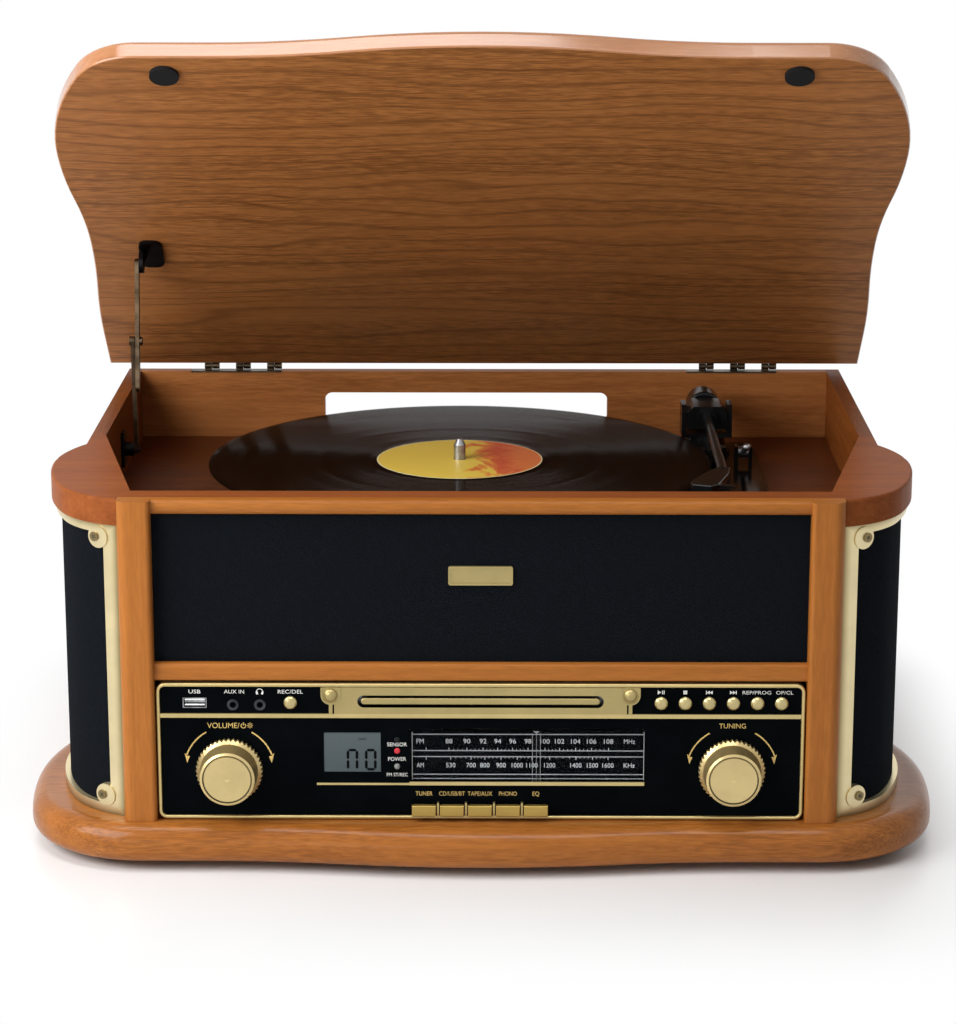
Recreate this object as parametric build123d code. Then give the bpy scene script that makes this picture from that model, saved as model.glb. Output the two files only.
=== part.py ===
"""Wooden music centre: turntable under a folding lid, radio with a dial, CD tray, cassette slot and two speakers.

Millimetres. X to the right, Y to the back, Z up. The origin is the centre of the plinth's outline on the floor.
The lid stands open on its stay at rest.
"""
from build123d import *
from math import acos, asin, atan2, ceil, cos, degrees, hypot, pi, radians, sin, sqrt
import os

# ------------------------------------------------------------------ fits and clearances
seat_gap = 0.3          # between pieces that lie beside each other
running_fit = 0.06      # radial, shaft in its bore
sliding_gap = 0.25      # around a button, key or tray in its guide

# ------------------------------------------------------------------ cabinet
foot_height = 5.0
foot_radius = 14.0
foot_inset_x = 58.0
foot_inset_y = 48.0
plinth_thickness = 22.0
wall_height = 184.0
board = 8.5             # side, back and baffle boards
cabinet_half_width = 232.0
back_margin = 5.4       # plinth behind the back panel
front_margin = 31.3     # plinth in front of the back of the front boards
deck_thickness = 15.0
deck_edge_round = 1.6
well_depth = 43.5       # rim down to the well floor
floor_thickness = 8.0
well_bend_depth = 149.4  # from the front boards back to where the side panels bend inwards
well_front_depth = 14.4
well_taper = 38.5       # each side of the well is this much nearer at the front

lobe_bulge = 13.4       # lobe beyond the straight side
lobe_widest_depth = 82.2
lobe_rear_radius = 89.0
lobe_rear_sweep = 60.0
lobe_side_radius = 140.0
lobe_corner_radius = 55.4
lobe_proud = 7.3

plinth_half_depth = 189.7
plinth_side_margin = 13.5
plinth_ear_margin = 15.6
plinth_rear_radius = 150.0
plinth_hollow_radius = 50.0
plinth_side_radius = 300.0
plinth_corner_radius = 70.0
plinth_top_round = 11.0
plinth_bottom_round = 8.0
rear_corner_radius = 16.0
bow_depth = 9.7         # how far the plinth's front bows out in the middle
bow_inset = 49.0        # straight run of the front beside each column

column_overlap = 5.5    # column outside the front corner of the well
column_width = 18.5
column_depth = 12.0     # the columns, rails and panels share one back plane
column_outer_round = 6.0
column_inner_round = 2.5
rail_depth = 7.6
top_rail_height = 8.4
middle_rail_height = 10.0
cloth_panel_depth = 2.8
badge_size = (35.5, 10.8)
badge_thickness = 1.6
badge_height_above_rail = 49.7

back_slot_half_width = 92.3
back_slot_x = -11.5
back_slot_top = 197.0
back_slot_height = 21.0
back_slot_round = 5.0
vent_count = 6
vent_pitch = 8.0
vent_length = 46.0
vent_height = 3.0

# ------------------------------------------------------------------ speaker chambers
cloth_inset = 5.4       # cloth behind the edge of the deck's lobe
cloth_thickness = 3.0
frame_proud = 3.1       # gold frame in front of the cloth
frame_bar = 8.2
frame_band = 5.6
boss_radius = 6.4
boss_rise = 0.7
boss_inset = 1.2        # boss centre from the bar, along X
boss_screw_offset = 2.0 # screw centre from the boss centre, away from the bar
frame_bead = 2.2        # raised bead along the bar, next to the column
frame_bead_rise = 0.6
boss_drop = 8.0         # top boss below the deck
boss_lift = 11.0        # bottom boss above the plinth
screw_radius = 2.7
screw_head = 0.9
back_screw_inset = 13.0
back_screw_share = 0.3
driver_radius = 39.0
driver_z = 104.0
driver_flange = 3.0
driver_depth = 36.0
magnet_radius = 24.0
magnet_thickness = 14.0

# ------------------------------------------------------------------ control panel
panel_side_gap = 0.7
panel_height = 79.4
panel_proud = 8.3
panel_bar = 2.1
panel_corner_radius = 5.0
divider_z = 88.0
divider_bar = 2.4
fascia_recess = 1.5     # fascia behind the gold frame
surround_half_width = 83.0
surround_thickness = 1.1
surround_boss_radius = 5.5
dome_radius = 3.8
dome_height = 2.6
dome_z = 100.1
stem_gap = 0.9          # slit between the stem and the plate
stem_ridge = 1.0        # width of the raised edge round a boss
stem_ridge_height = 0.6
stem_bar = 2.0
slot_length = 136.4
slot_height = 7.0
slot_z = 96.4
# the upper row: places are shares of the way from the disc surround to the end of the panel
usb_share = 0.784
usb_z = 95.2
usb_size = (13.2, 5.9)
usb_depth = 14.0
usb_wall = 0.5
jack_shares = (0.547, 0.379)
jack_z = 94.2
jack_radius = 3.2
jack_bore_radius = 1.75
jack_depth = 12.0
button_radius = 3.7
button_proud = 3.2
button_stem_radius = 1.6
button_travel = 1.2
button_z = 96.1
record_button_share = 0.188
button_shares = (0.128, 0.874)
button_names = ("play_button", "stop_button", "previous_button", "next_button", "repeat_button",
                "open_button")
key_names = ("tuner_key", "disc_key", "tape_key", "phono_key", "eq_key")
first_key_x = -31.5
key_pitch = 15.6
key_width = 13.5
key_height = 6.4
key_low_z = 30.5
key_proud = 5.8
key_travel = 3.0
key_bar = 1.1
display_x = (-87.1, -55.5)
display_z = (54.9, 77.9)
lamp_x = -46.4
lamp_zs = (67.3, 58.2)
lamp_radius = 1.6
sensor_z = 73.6
dial_x = (-39.6, 92.1)
dial_z = (46.9, 80.6)
dial_pocket_depth = 3.9
window_thickness = 1.2
ledge_z = 47.4
ledge_height = 2.0
ledge_proud = 1.0
ledge_half_width = 91.2
pointer_x = 31.1
pointer_width = 5.3
pointer_z = (47.9, 79.8)
pointer_thickness = 1.0
pointer_travel = (-49.5, 40.5)
pointer_slot_height = 1.5
knob_inset = 40.0
knob_z = 56.2
knob_ring_radius = 18.7
knob_cap_radius = 15.2
knob_face_radius = 12.9
knob_length = 17.0
knob_ring_length = 4.8
knob_teeth = 44
knob_tooth_depth = 1.1
shaft_radius = 3.0
fascia_thickness = 6.8
control_gap = 10.0      # fascia back to the control boards
board_thickness = 1.6
radiator_length = 30.0
radiator_height = 28.4
radiator_bar = 6.0
radiator_fin = 12.0
radiator_inset = 10.0
capacitor_radius = 8.0
capacitor_height = 26.0
capacitor_pitch = 22.0
capacitor_inset = 25.0

# ------------------------------------------------------------------ CD tray and drive
tray_half_width = 62.0
tray_length = 142.0
tray_thickness = 3.8
tray_bar_length = 132.6
tray_bar_height = 3.8
tray_travel = 128.0
disc_radius = 60.5
disc_recess = 1.5
tray_window = (70.0, 34.0)
tray_window_offset = 22.0
tray_disc_inset = 10.0
drive_half_width = 76.0
drive_depth = 158.0
drive_wall = 6.0
drive_head_room = 5.5
drive_leg = 2.5
drive_leg_length = 70.0

# ------------------------------------------------------------------ cassette slot, right side
cassette_back_inset = 74.3
cassette_z = 100.0
cassette_bezel = (132.0, 34.0)
cassette_bezel_thickness = 2.4
cassette_slot = (104.0, 12.0)
cassette_body_wall = 4.0
cassette_body_depth = 70.0
flap_thickness = 1.4
flap_pin_radius = 1.0
cassette_key_size = (12.0, 6.0)
cassette_key_travel = 3.0
cassette_key_proud = 3.2

# ------------------------------------------------------------------ record player
spindle_x = -13.7
spindle_y = 15.2
spindle_radius = 3.55
spindle_above_record = 13.0
record_radius = 150.8
record_thickness = 1.8
record_bore_radius = 3.65
label_radius = 50.0
label_step = 0.25
platter_radius = 98.0
platter_top_above_floor = 21.7
platter_disc = 3.0
platter_skirt = 13.0
drive_ring_radius = 65.0
drive_ring_wall = 3.0
drive_ring_height = 12.0
pulley_radius = 3.5
pulley_offset = 84.0
pulley_angle = 200.0
belt_height = 5.0
belt_thickness = 0.8
motor_radius = 17.0
motor_height = 24.0
chassis_x = (-124.0, 173.8)
chassis_y = (-112.0, 149.5)
chassis_thickness = 3.0
chassis_lip = 8.0       # chassis flange on the well floor
chassis_round = 12.0

arm_x = 141.5
arm_y = 120.0
arm_height = 28.0       # arm axis above the well floor
turret_radius = 12.5
arm_block = (25.0, 26.0, 15.0)
cheek = 3.0
fork_clearance = 5.0    # so that the block can tip back in its fork
arm_tube_radius = 3.0
arm_tube_length = 155.0
headshell_angle = 20.0
headshell_length = 44.0
headshell_width = 17.0
cartridge_width = 14.0
cartridge_length = 20.0
counterweight_radius = 10.5
counterweight_length = 20.0
trunnion_radius = 2.0
arm_rest_y = 22.0
cue_x = 163.0
cue_y = 88.0
cue_length = 26.0
speed_x = 156.0
speed_y = -52.0
speed_travel = 9.0

# ------------------------------------------------------------------ lid
lid_open_angle = 41.0
lid_thickness = 12.0
hinge_inset = 2.5       # axis in front of the back face
hinge_above_rim = 2.5
lid_rear_gap = 2.8      # rear edge of the lid in front of the hinge axis
lid_rear_overhang = 12.0
lid_waist_overhang = 7.3
lid_waist_depth = 188.4
lid_shoulder_inset = 41.8
lid_lobe_overhang = 2.1
lid_lobe_depth = 90.4
lid_side_radius = 160.0
lid_corner_radius = 40.0
lid_front_overhang = 7.9
lid_bow_depth = 10.4
lid_top_round = 3.5
lid_bottom_round = 1.2
pad_radius = 8.3
pad_inset = 22.0        # from the outer face of the column
pad_depth = 8.2
hinge_side_inset = 70.5
hinge_length = 59.0
hinge_sets = 3          # pairs of knuckles on one hinge
hinge_set_start = 8.6
hinge_set_width = 9.6
hinge_set_gap = 0.3     # between the two knuckles of a pair
hinge_pin_radius = 1.0
hinge_barrel_radius = 1.9
leaf_thickness = 1.0
leaf_width = 8.0

stay_lower_reach = 116.0
stay_lower_above_floor = 17.5
stay_lid_reach = 142.0  # from the hinge axis, along the lid
stay_lid_drop = 8.0     # below the underside of the lid
stay_upper_share = 0.407
stay_slack = 0.8        # spare length when the stay is drawn out
stay_bar = 6.0
stay_thickness = 2.4
stay_tail = 28.0
stay_pin_radius = 2.0
stay_foot = (14.0, 22.0)
stay_wall_gap = 10.5    # side wall to the plane between the two links
stay_link_gap = 0.5

# ------------------------------------------------------------------ inside and back
transformer_side_inset = 82.0
transformer_back_inset = 72.3
transformer_size = (66.0, 44.0, 54.0)
main_board_x = (-70.0, 120.0)
main_board_depth = 115.0
main_board_back_inset = 24.3
standoff = 8.0
socket_plate_inset = 82.0
socket_plate_z = 56.0
socket_plate_size = (62.0, 30.0)
socket_plate_thickness = 2.0
line_socket_radius = 4.2
line_socket_length = 2.9
line_socket_bore_radius = 1.6
gland_radius = 8.0
gland_length = 9.0

# ------------------------------------------------------------------ levels and planes that follow
plinth_top = foot_height + plinth_thickness
rim = plinth_top + wall_height
deck_bottom = rim - deck_thickness
floor_top = rim - well_depth
floor_bottom = floor_top - floor_thickness
wall_inner_x = cabinet_half_width - board
back_face_y = plinth_half_depth - back_margin
back_inner_y = back_face_y - board
front_board_y = front_margin - plinth_half_depth
lobe_half_width = cabinet_half_width + lobe_bulge
lobe_widest_y = front_board_y + lobe_widest_depth
lobe_front_y = front_board_y - lobe_proud
plinth_side_x = cabinet_half_width + plinth_side_margin
plinth_ear_x = lobe_half_width + plinth_ear_margin
well_front_half_width = cabinet_half_width - well_taper
well_bend_y = front_board_y + well_bend_depth
well_front_y = front_board_y + well_front_depth
column_outer_x = well_front_half_width + column_overlap
column_front_y = front_board_y - column_depth
rail_front_y = front_board_y - rail_depth
cloth_panel_front_y = front_board_y - cloth_panel_depth
panel_front_y = front_board_y - panel_proud
bow_half_span = column_outer_x - bow_inset
column_inner_x = column_outer_x - column_width
panel_half_width = column_inner_x - panel_side_gap
knob_x = panel_half_width - knob_inset
row_start = surround_half_width + surround_boss_radius
row_length = panel_half_width - panel_bar - row_start
usb_x = -(row_start + usb_share * row_length)
jack_spots = [(-(row_start + share * row_length), jack_z) for share in jack_shares]
record_button_x = -(row_start + record_button_share * row_length)
panel_low = plinth_top + 0.4
panel_high = panel_low + panel_height
fascia_y = panel_front_y + fascia_recess
fascia_back_y = fascia_y + fascia_thickness
control_board_y = fascia_back_y + control_gap
middle_rail_low = panel_high + 1.2
middle_rail_high = middle_rail_low + middle_rail_height
top_rail_low = rim - top_rail_height
platter_top = floor_top + platter_top_above_floor
record_top = platter_top + record_thickness
chassis_top = floor_top + chassis_thickness
arm_z = floor_top + arm_height
hinge_z = rim + hinge_above_rim
hinge_y = back_face_y - hinge_inset
hinge_x = cabinet_half_width - hinge_side_inset
lid_rear_half_width = cabinet_half_width + lid_rear_overhang
lid_waist_half_width = cabinet_half_width + lid_waist_overhang
lid_waist_y = front_board_y + lid_waist_depth
lid_shoulder_y = hinge_y - lid_shoulder_inset
lid_lobe_half_width = lobe_half_width + lid_lobe_overhang
lid_lobe_y = front_board_y + lid_lobe_depth
lid_front_y = front_board_y - lid_front_overhang
pad_x = column_outer_x - pad_inset
pad_y = front_board_y + pad_depth
stay_lower_y = hinge_y - stay_lower_reach
stay_x = stay_wall_gap - wall_inner_x
cassette_y = back_face_y - cassette_back_inset
transformer_x = transformer_side_inset - cabinet_half_width
transformer_y = back_face_y - transformer_back_inset
main_board_y = (back_face_y - main_board_back_inset - main_board_depth,
                back_face_y - main_board_back_inset)
socket_plate_x = cabinet_half_width - socket_plate_inset
lid_axis = Axis((0, hinge_y, hinge_z), (-1, 0, 0))
MIN_Z = (Align.CENTER, Align.CENTER, Align.MIN)


# ================================================================== helpers
def rect(x0, x1, y0, y1):
    """A rectangle from two opposite corners."""
    return Pos((x0 + x1) / 2, (y0 + y1) / 2) * Rectangle(abs(x1 - x0), abs(y1 - y0))


def rounded(x0, x1, y0, y1, radius):
    """A rectangle from two opposite corners, with round corners."""
    return Pos((x0 + x1) / 2, (y0 + y1) / 2) * RectangleRounded(abs(x1 - x0), abs(y1 - y0), radius)


def plan_plate(sketch, z0, z1):
    """A flat piece drawn from above, from one level to another."""
    return extrude(Pos(0, 0, z0) * sketch, amount=z1 - z0)


def front_plate(sketch, back_y, front_y):
    """A flat piece drawn from the front in X and Z, from its back to its front."""
    return extrude(Plane.XZ.offset(-back_y) * sketch, amount=back_y - front_y)


def side_plate(sketch, x0, x1):
    """A flat piece drawn from the side in Y and Z, from one X to another."""
    return extrude(Plane.YZ.offset(x0) * sketch, amount=x1 - x0)


def block(x0, x1, y0, y1, z0, z1):
    """A plain board or bar from its two corners."""
    return plan_plate(rect(x0, x1, y0, y1), z0, z1)


def rod(start, direction, radius, length):
    """A round bar from a start point along a direction."""
    return Plane(origin=start, z_dir=direction) * Cylinder(radius, length, align=MIN_Z)


def turned(points, x, y):
    """A piece turned about the vertical axis through X and Y, from radius and height points."""
    profile = make_face(Plane.XZ * Polyline(*points, close=True))
    return Pos(x, y, 0) * revolve(profile, Axis.Z)


def turned_forward(points, x, z):
    """A piece turned about an axis along Y, from radius and Y points."""
    profile = make_face(Polyline(*points, close=True))
    return Pos(x, 0, z) * revolve(profile, Axis.Y)


def both(piece):
    """A right-hand piece and its mirror image on the left."""
    return [piece, mirror(piece, about=Plane.YZ)]


def save(name, *pieces):
    """Write one sub-part, each of its solids as it is."""
    solids = [solid for piece in pieces for solid in piece.solids()]
    shape = solids[0] if len(solids) == 1 else Compound(solids)
    export_step(shape, f"parts/{name}.step")


def s_curve(start, end, tangent):
    """Two equal arcs from start to end, leaving and arriving along the tangent."""
    middle = ((start[0] + end[0]) / 2, (start[1] + end[1]) / 2)
    back = (-tangent[0], -tangent[1])
    return TangentArc(start, middle, tangent=tangent) + TangentArc(end, middle, tangent=back)


def lobe_arcs(half_width, widest_y, rear_radius, side_radius, corner_radius, front_y, rear_sweep,
              grow=0.0):
    """Rear, side and corner arcs of a right-hand lobe, about fixed centres, grown by an offset."""
    corner_y = front_y + corner_radius
    side_x = half_width - side_radius
    reach = side_radius - corner_radius
    corner_x = side_x + sqrt(reach ** 2 - (corner_y - widest_y) ** 2)
    turn = degrees(asin((widest_y - corner_y) / reach))
    rear = CenterArc((half_width - rear_radius, widest_y), rear_radius + grow, 0, rear_sweep)
    side = CenterArc((side_x, widest_y), side_radius + grow, -turn, turn)
    corner = CenterArc((corner_x, corner_y), corner_radius + grow, -90, 90 - turn)
    return rear, side, corner


def lobe(half_width, widest_y, rear_radius, side_radius, corner_radius, front_y, grow=0.0):
    """Plan of a right-hand lobe, closed on its inner side."""
    rear, side, corner = lobe_arcs(half_width, widest_y, rear_radius, side_radius, corner_radius,
                                   front_y, lobe_rear_sweep, grow)
    inner_x = min((corner @ 0).X, (rear @ 1).X) - corner_radius / 2
    closing = Polyline(corner @ 0, (inner_x, (corner @ 0).Y), (inner_x, (rear @ 1).Y), rear @ 1)
    return make_face(rear + side + corner + closing)


def deck_lobe(grow=0.0):
    """The deck's own lobe, or a line inside it."""
    return lobe(lobe_half_width, lobe_widest_y, lobe_rear_radius, lobe_side_radius,
                lobe_corner_radius, lobe_front_y, grow)


def lobe_corner_centre():
    """Centre of the front arc of the deck's lobe."""
    y = lobe_front_y + lobe_corner_radius
    reach = lobe_side_radius - lobe_corner_radius
    x = lobe_half_width - lobe_side_radius + sqrt(reach ** 2 - (y - lobe_widest_y) ** 2)
    return x, y


def well_edge_x(y):
    """Half-width of the well at a depth Y, along its straight and its bent walls."""
    slope = (wall_inner_x - well_front_half_width) / (well_bend_y - well_front_y)
    return wall_inner_x - max(0.0, well_bend_y - y) * slope


def well_plan(front_y, rear_y, inset=0.0):
    """Plan of the well between its walls."""
    half = [(well_edge_x(front_y) - inset, front_y), (wall_inner_x - inset, well_bend_y),
            (wall_inner_x - inset, rear_y)]
    other = [(-x, y) for x, y in reversed(half)]
    return make_face(Polyline(*half, *other, close=True))


# ================================================================== cabinet
def plinth_plan():
    """Plan of the plinth: bowed front, round ears, hollow flanks and straight sides."""
    front_y = bow_depth - plinth_half_depth
    ear_x = plinth_ear_x - plinth_rear_radius
    apart = plinth_side_x + plinth_hollow_radius - ear_x
    reach = plinth_rear_radius + plinth_hollow_radius
    hollow_y = lobe_widest_y + sqrt(reach ** 2 - apart ** 2)
    sweep = degrees(acos(apart / reach))
    rear, side, corner = lobe_arcs(plinth_ear_x, lobe_widest_y, plinth_rear_radius,
                                   plinth_side_radius, plinth_corner_radius, front_y, sweep)
    hollow = CenterArc((plinth_side_x + plinth_hollow_radius, hollow_y), plinth_hollow_radius, 180, sweep)
    back_y = plinth_half_depth - rear_corner_radius
    straight = Line((plinth_side_x, hollow_y), (plinth_side_x, back_y))
    back_corner = CenterArc((plinth_side_x - rear_corner_radius, back_y), rear_corner_radius, 0, 90)
    back = Polyline((plinth_side_x - rear_corner_radius, plinth_half_depth), (0, plinth_half_depth),
                    (0, -plinth_half_depth))
    bow = s_curve((bow_half_span, front_y), (0, -plinth_half_depth), (-1, 0))
    flat = Line((bow_half_span, front_y), corner @ 0)
    half = make_face(rear + side + corner + flat + bow + back + back_corner + straight + hollow)
    return half + mirror(half, about=Plane.YZ)


def make_plinth():
    """Serpentine base board with a bull-nosed edge all round, on its feet."""
    outline = plinth_plan()
    plinth = plan_plate(outline, foot_height, plinth_top)
    plinth = fillet(plinth.faces().sort_by(Axis.Z)[-1].edges(), plinth_top_round)
    plinth = fillet(plinth.faces().sort_by(Axis.Z)[0].edges(), plinth_bottom_round)
    save("base_plinth", plinth)
    foot = turned([(0, 0), (foot_radius - 2, 0), (foot_radius, 1.5), (foot_radius - 1.5, foot_height),
                   (0, foot_height)], 0, 0)
    spots = [(sx * (plinth_ear_x - foot_inset_x), sy * (plinth_half_depth - foot_inset_y))
             for sx in (-1, 1) for sy in (-1, 1)]
    save("rubber_feet", *[Pos(x, y, 0) * foot for x, y in spots])


def baffle_frame():
    """Plane on the outer face of the right-hand baffle, Z outwards, at the driver's centre."""
    run = Vector(well_front_half_width - wall_inner_x, well_front_y - well_bend_y, 0)
    outwards = Vector(-run.Y, run.X, 0).normalized()
    middle = Vector((wall_inner_x + well_front_half_width) / 2, (well_bend_y + well_front_y) / 2, 0)
    centre = middle + outwards * board + Vector(0, 0, driver_z)
    return Plane(origin=centre, x_dir=(0, 0, 1), z_dir=outwards)


def make_side_panels():
    """Side boards that bend inwards at the front and carry the speaker drivers there."""
    straight = block(wall_inner_x, cabinet_half_width, well_bend_y, back_face_y, plinth_top, rim)
    step_y = chamber_rear_y()
    shoulder = block(wall_inner_x, cabinet_half_width, step_y, well_bend_y, plinth_top, deck_bottom)
    end_y = front_board_y
    inner_end = well_edge_x(end_y)
    frame = baffle_frame()
    shift = frame.z_dir * board
    inner = [(wall_inner_x, well_bend_y), (inner_end, end_y)]
    outer = [(x + shift.X, y + shift.Y) for x, y in reversed(inner)]
    slope = (outer[1][0] - outer[0][0]) / (outer[1][1] - outer[0][1])
    outer[0] = (outer[0][0] + (end_y - outer[0][1]) * slope, end_y)
    baffle = plan_plate(make_face(Polyline(*inner, *outer, close=True)), plinth_top, deck_bottom)
    panel = straight + shoulder + baffle
    panel -= frame * Pos(0, 0, -board * 2) * Cylinder(driver_radius - 3, board * 4, align=MIN_Z)
    left = mirror(panel, about=Plane.YZ)
    right = panel - side_plate(cassette_body(seat_gap), wall_inner_x - 1, cabinet_half_width + 1)
    save("side_panels", right, left)


def chamber_rear_y():
    """Where the deck's lobe meets the straight side of the cabinet."""
    rear_x = lobe_half_width - lobe_rear_radius
    return lobe_widest_y + sqrt(lobe_rear_radius ** 2 - (cabinet_half_width - rear_x) ** 2)


def make_back_panel():
    """Back board with the see-through slot behind the record and vents low down."""
    panel = front_plate(rect(-wall_inner_x, wall_inner_x, plinth_top, rim), back_face_y, back_inner_y)
    slot = rounded(back_slot_x - back_slot_half_width, back_slot_x + back_slot_half_width,
                   back_slot_top - back_slot_height, back_slot_top, back_slot_round)
    panel -= front_plate(slot, back_face_y + 1, back_inner_y - 1)
    for side in (-1, 1):
        for row in range(vent_count):
            z = socket_plate_z + (row - (vent_count - 1) / 2) * vent_pitch
            vent = Pos(side * vent_length * 0.8, z) * SlotOverall(vent_length, vent_height)
            panel -= front_plate(vent, back_face_y + 1, back_inner_y - 1)
    for hole_x in hinge_spots():
        recess = rect(hole_x - hinge_length / 2, hole_x + hinge_length / 2, back_inner_y - 1,
                      back_face_y + 1)
        panel -= plan_plate(recess, rim - leaf_thickness, rim + 1)
    panel -= rod((gland_spot()[0], back_face_y + 1, gland_spot()[1]), (0, -1, 0), gland_radius - 2.5,
                 board + 2)
    save("back_panel", panel)


def hinge_spots():
    """X of the two hinges."""
    return (-hinge_x, hinge_x)


def gland_spot():
    """X and Z of the mains gland, beside the socket plate."""
    return socket_plate_x + socket_plate_size[0] / 2 + gland_radius + 8, socket_plate_z


def make_deck():
    """Top deck with its two lobes, and the apron that closes the front of the well."""
    board_lobe = plan_plate(deck_lobe(), deck_bottom, rim)
    rim_arcs = [e for e in board_lobe.edges().filter_by(GeomType.CIRCLE)
                if abs(e.center().Z - rim) < 0.01]
    board_lobe = fillet(rim_arcs, deck_edge_round)
    inner_x = well_front_half_width
    infill = rect(inner_x, cabinet_half_width, lobe_widest_y, well_bend_y)
    infill += rect(inner_x, column_outer_x + 5, well_front_y - 5, lobe_widest_y)
    board_lobe += plan_plate(infill, deck_bottom, rim)
    band = plan_plate(rect(-inner_x - 5, inner_x + 5, front_board_y, well_front_y), deck_bottom, rim)
    notch_x = column_outer_x + seat_gap
    cuts = rect(-plinth_ear_x, plinth_ear_x, well_bend_y, -lobe_widest_y)
    cuts += well_plan(well_front_y, -lobe_widest_y)
    cuts += rect(-notch_x, notch_x, column_front_y - 10, front_board_y)
    deck = band + both(board_lobe) - plan_plate(cuts, deck_bottom - 1, rim + 1)
    apron = plan_plate(well_plan(well_front_y - board, well_front_y, 0.0)
                       - rect(-cabinet_half_width, cabinet_half_width, well_front_y, back_face_y),
                       floor_top, deck_bottom)
    save("top_deck", deck + apron)


def make_front_frame():
    """Columns, rails, cloth panel and the bare badge plate of the front."""
    column = plan_plate(rect(column_inner_x, column_outer_x, column_front_y, front_board_y),
                        plinth_top, rim)
    uprights = column.edges().filter_by(Axis.Z)
    front = [e for e in uprights if e.center().Y < (column_front_y + front_board_y) / 2]
    outer = [e for e in front if e.center().X > (column_inner_x + column_outer_x) / 2]
    column = fillet(outer, column_outer_round)
    front = [e for e in column.edges().filter_by(Axis.Z) if abs(e.center().X - column_inner_x) < 0.01
             and abs(e.center().Y - column_front_y) < 0.01]
    column = fillet(front, column_inner_round)

    def rail(low, high, round_top, round_bottom):
        bar = block(-column_inner_x, column_inner_x, rail_front_y, front_board_y, low, high)
        long_edges = [e for e in bar.edges().filter_by(Axis.X) if e.center().Y < rail_front_y + 0.1]
        upper = [e for e in long_edges if e.center().Z > (low + high) / 2]
        bar = fillet(upper, round_top)
        lower = [e for e in bar.edges().filter_by(Axis.X)
                 if e.center().Y < rail_front_y + 0.1 and e.center().Z < low + 0.1]
        return fillet(lower, round_bottom)

    half_round = top_rail_height * 0.46
    save("front_frame", *both(column), rail(top_rail_low, rim, half_round, half_round),
         rail(middle_rail_low, middle_rail_high, 2.6, 1.8))
    cloth = block(-column_inner_x, column_inner_x, cloth_panel_front_y, front_board_y + 2.5,
                  middle_rail_high, top_rail_low)
    notch = block(-column_inner_x, column_inner_x, front_board_y, front_board_y + 3,
                  top_rail_low - 8, top_rail_low + 1)
    save("front_cloth_panel", cloth - notch)
    badge_z = middle_rail_high + badge_height_above_rail
    outline = Pos(0, badge_z) * RectangleRounded(*badge_size, 1.2)
    inset = Pos(0, badge_z) * RectangleRounded(badge_size[0] - 2.4, badge_size[1] - 2.4, 0.8)
    face_y = cloth_panel_front_y - badge_thickness
    badge = front_plate(outline, cloth_panel_front_y, face_y)
    badge -= front_plate(inset, face_y + 0.5, face_y - 1)
    save("badge_plate", badge)


# ================================================================== speaker chambers
def chamber_window():
    """Plan of the space between the column, the baffle and the step of the side panel."""
    slope, outer_x = baffle_line()
    inner_x = column_outer_x + seat_gap
    bend_y = (inner_x - seat_gap - outer_x) / slope
    rear_y = chamber_rear_y() - seat_gap
    front_y = lobe_front_y * 1.2
    outside_x = plinth_ear_x + 20
    return make_face(Polyline((inner_x, front_y), (inner_x, bend_y),
                              (outer_x + slope * rear_y + seat_gap, rear_y), (outside_x, rear_y),
                              (outside_x, front_y), close=True))


def baffle_line():
    """Slope and intercept of X over Y along the outer face of the right-hand baffle."""
    slope = (wall_inner_x - well_front_half_width) / (well_bend_y - well_front_y)
    origin = baffle_frame().origin
    return slope, origin.X - slope * origin.Y


def boss_places():
    """Seat, outward direction and side step away from the bar of a right-hand frame's bosses."""
    corner = lobe_corner_centre()
    corner_arm = lobe_corner_radius - cloth_inset
    boss_x = column_outer_x + seat_gap + frame_bar + boss_inset
    front = -acos((boss_x - corner[0]) / corner_arm)
    rear_centre = (lobe_half_width - lobe_rear_radius, lobe_widest_y)
    rear_arm = lobe_rear_radius - cloth_inset
    rear = asin((chamber_rear_y() - frame_bar - boss_inset - rear_centre[1]) / rear_arm)
    heights = (plinth_top + boss_lift, deck_bottom - boss_drop)
    for centre, arm, angle, turn in ((corner, corner_arm, front, 1), (rear_centre, rear_arm, rear, -1)):
        out = Vector(cos(angle), sin(angle), 0)
        step = Vector(-sin(angle), cos(angle), 0) * (boss_screw_offset * turn)
        for z in heights:
            yield Vector(centre[0], centre[1], z) + out * arm, out, step


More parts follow.
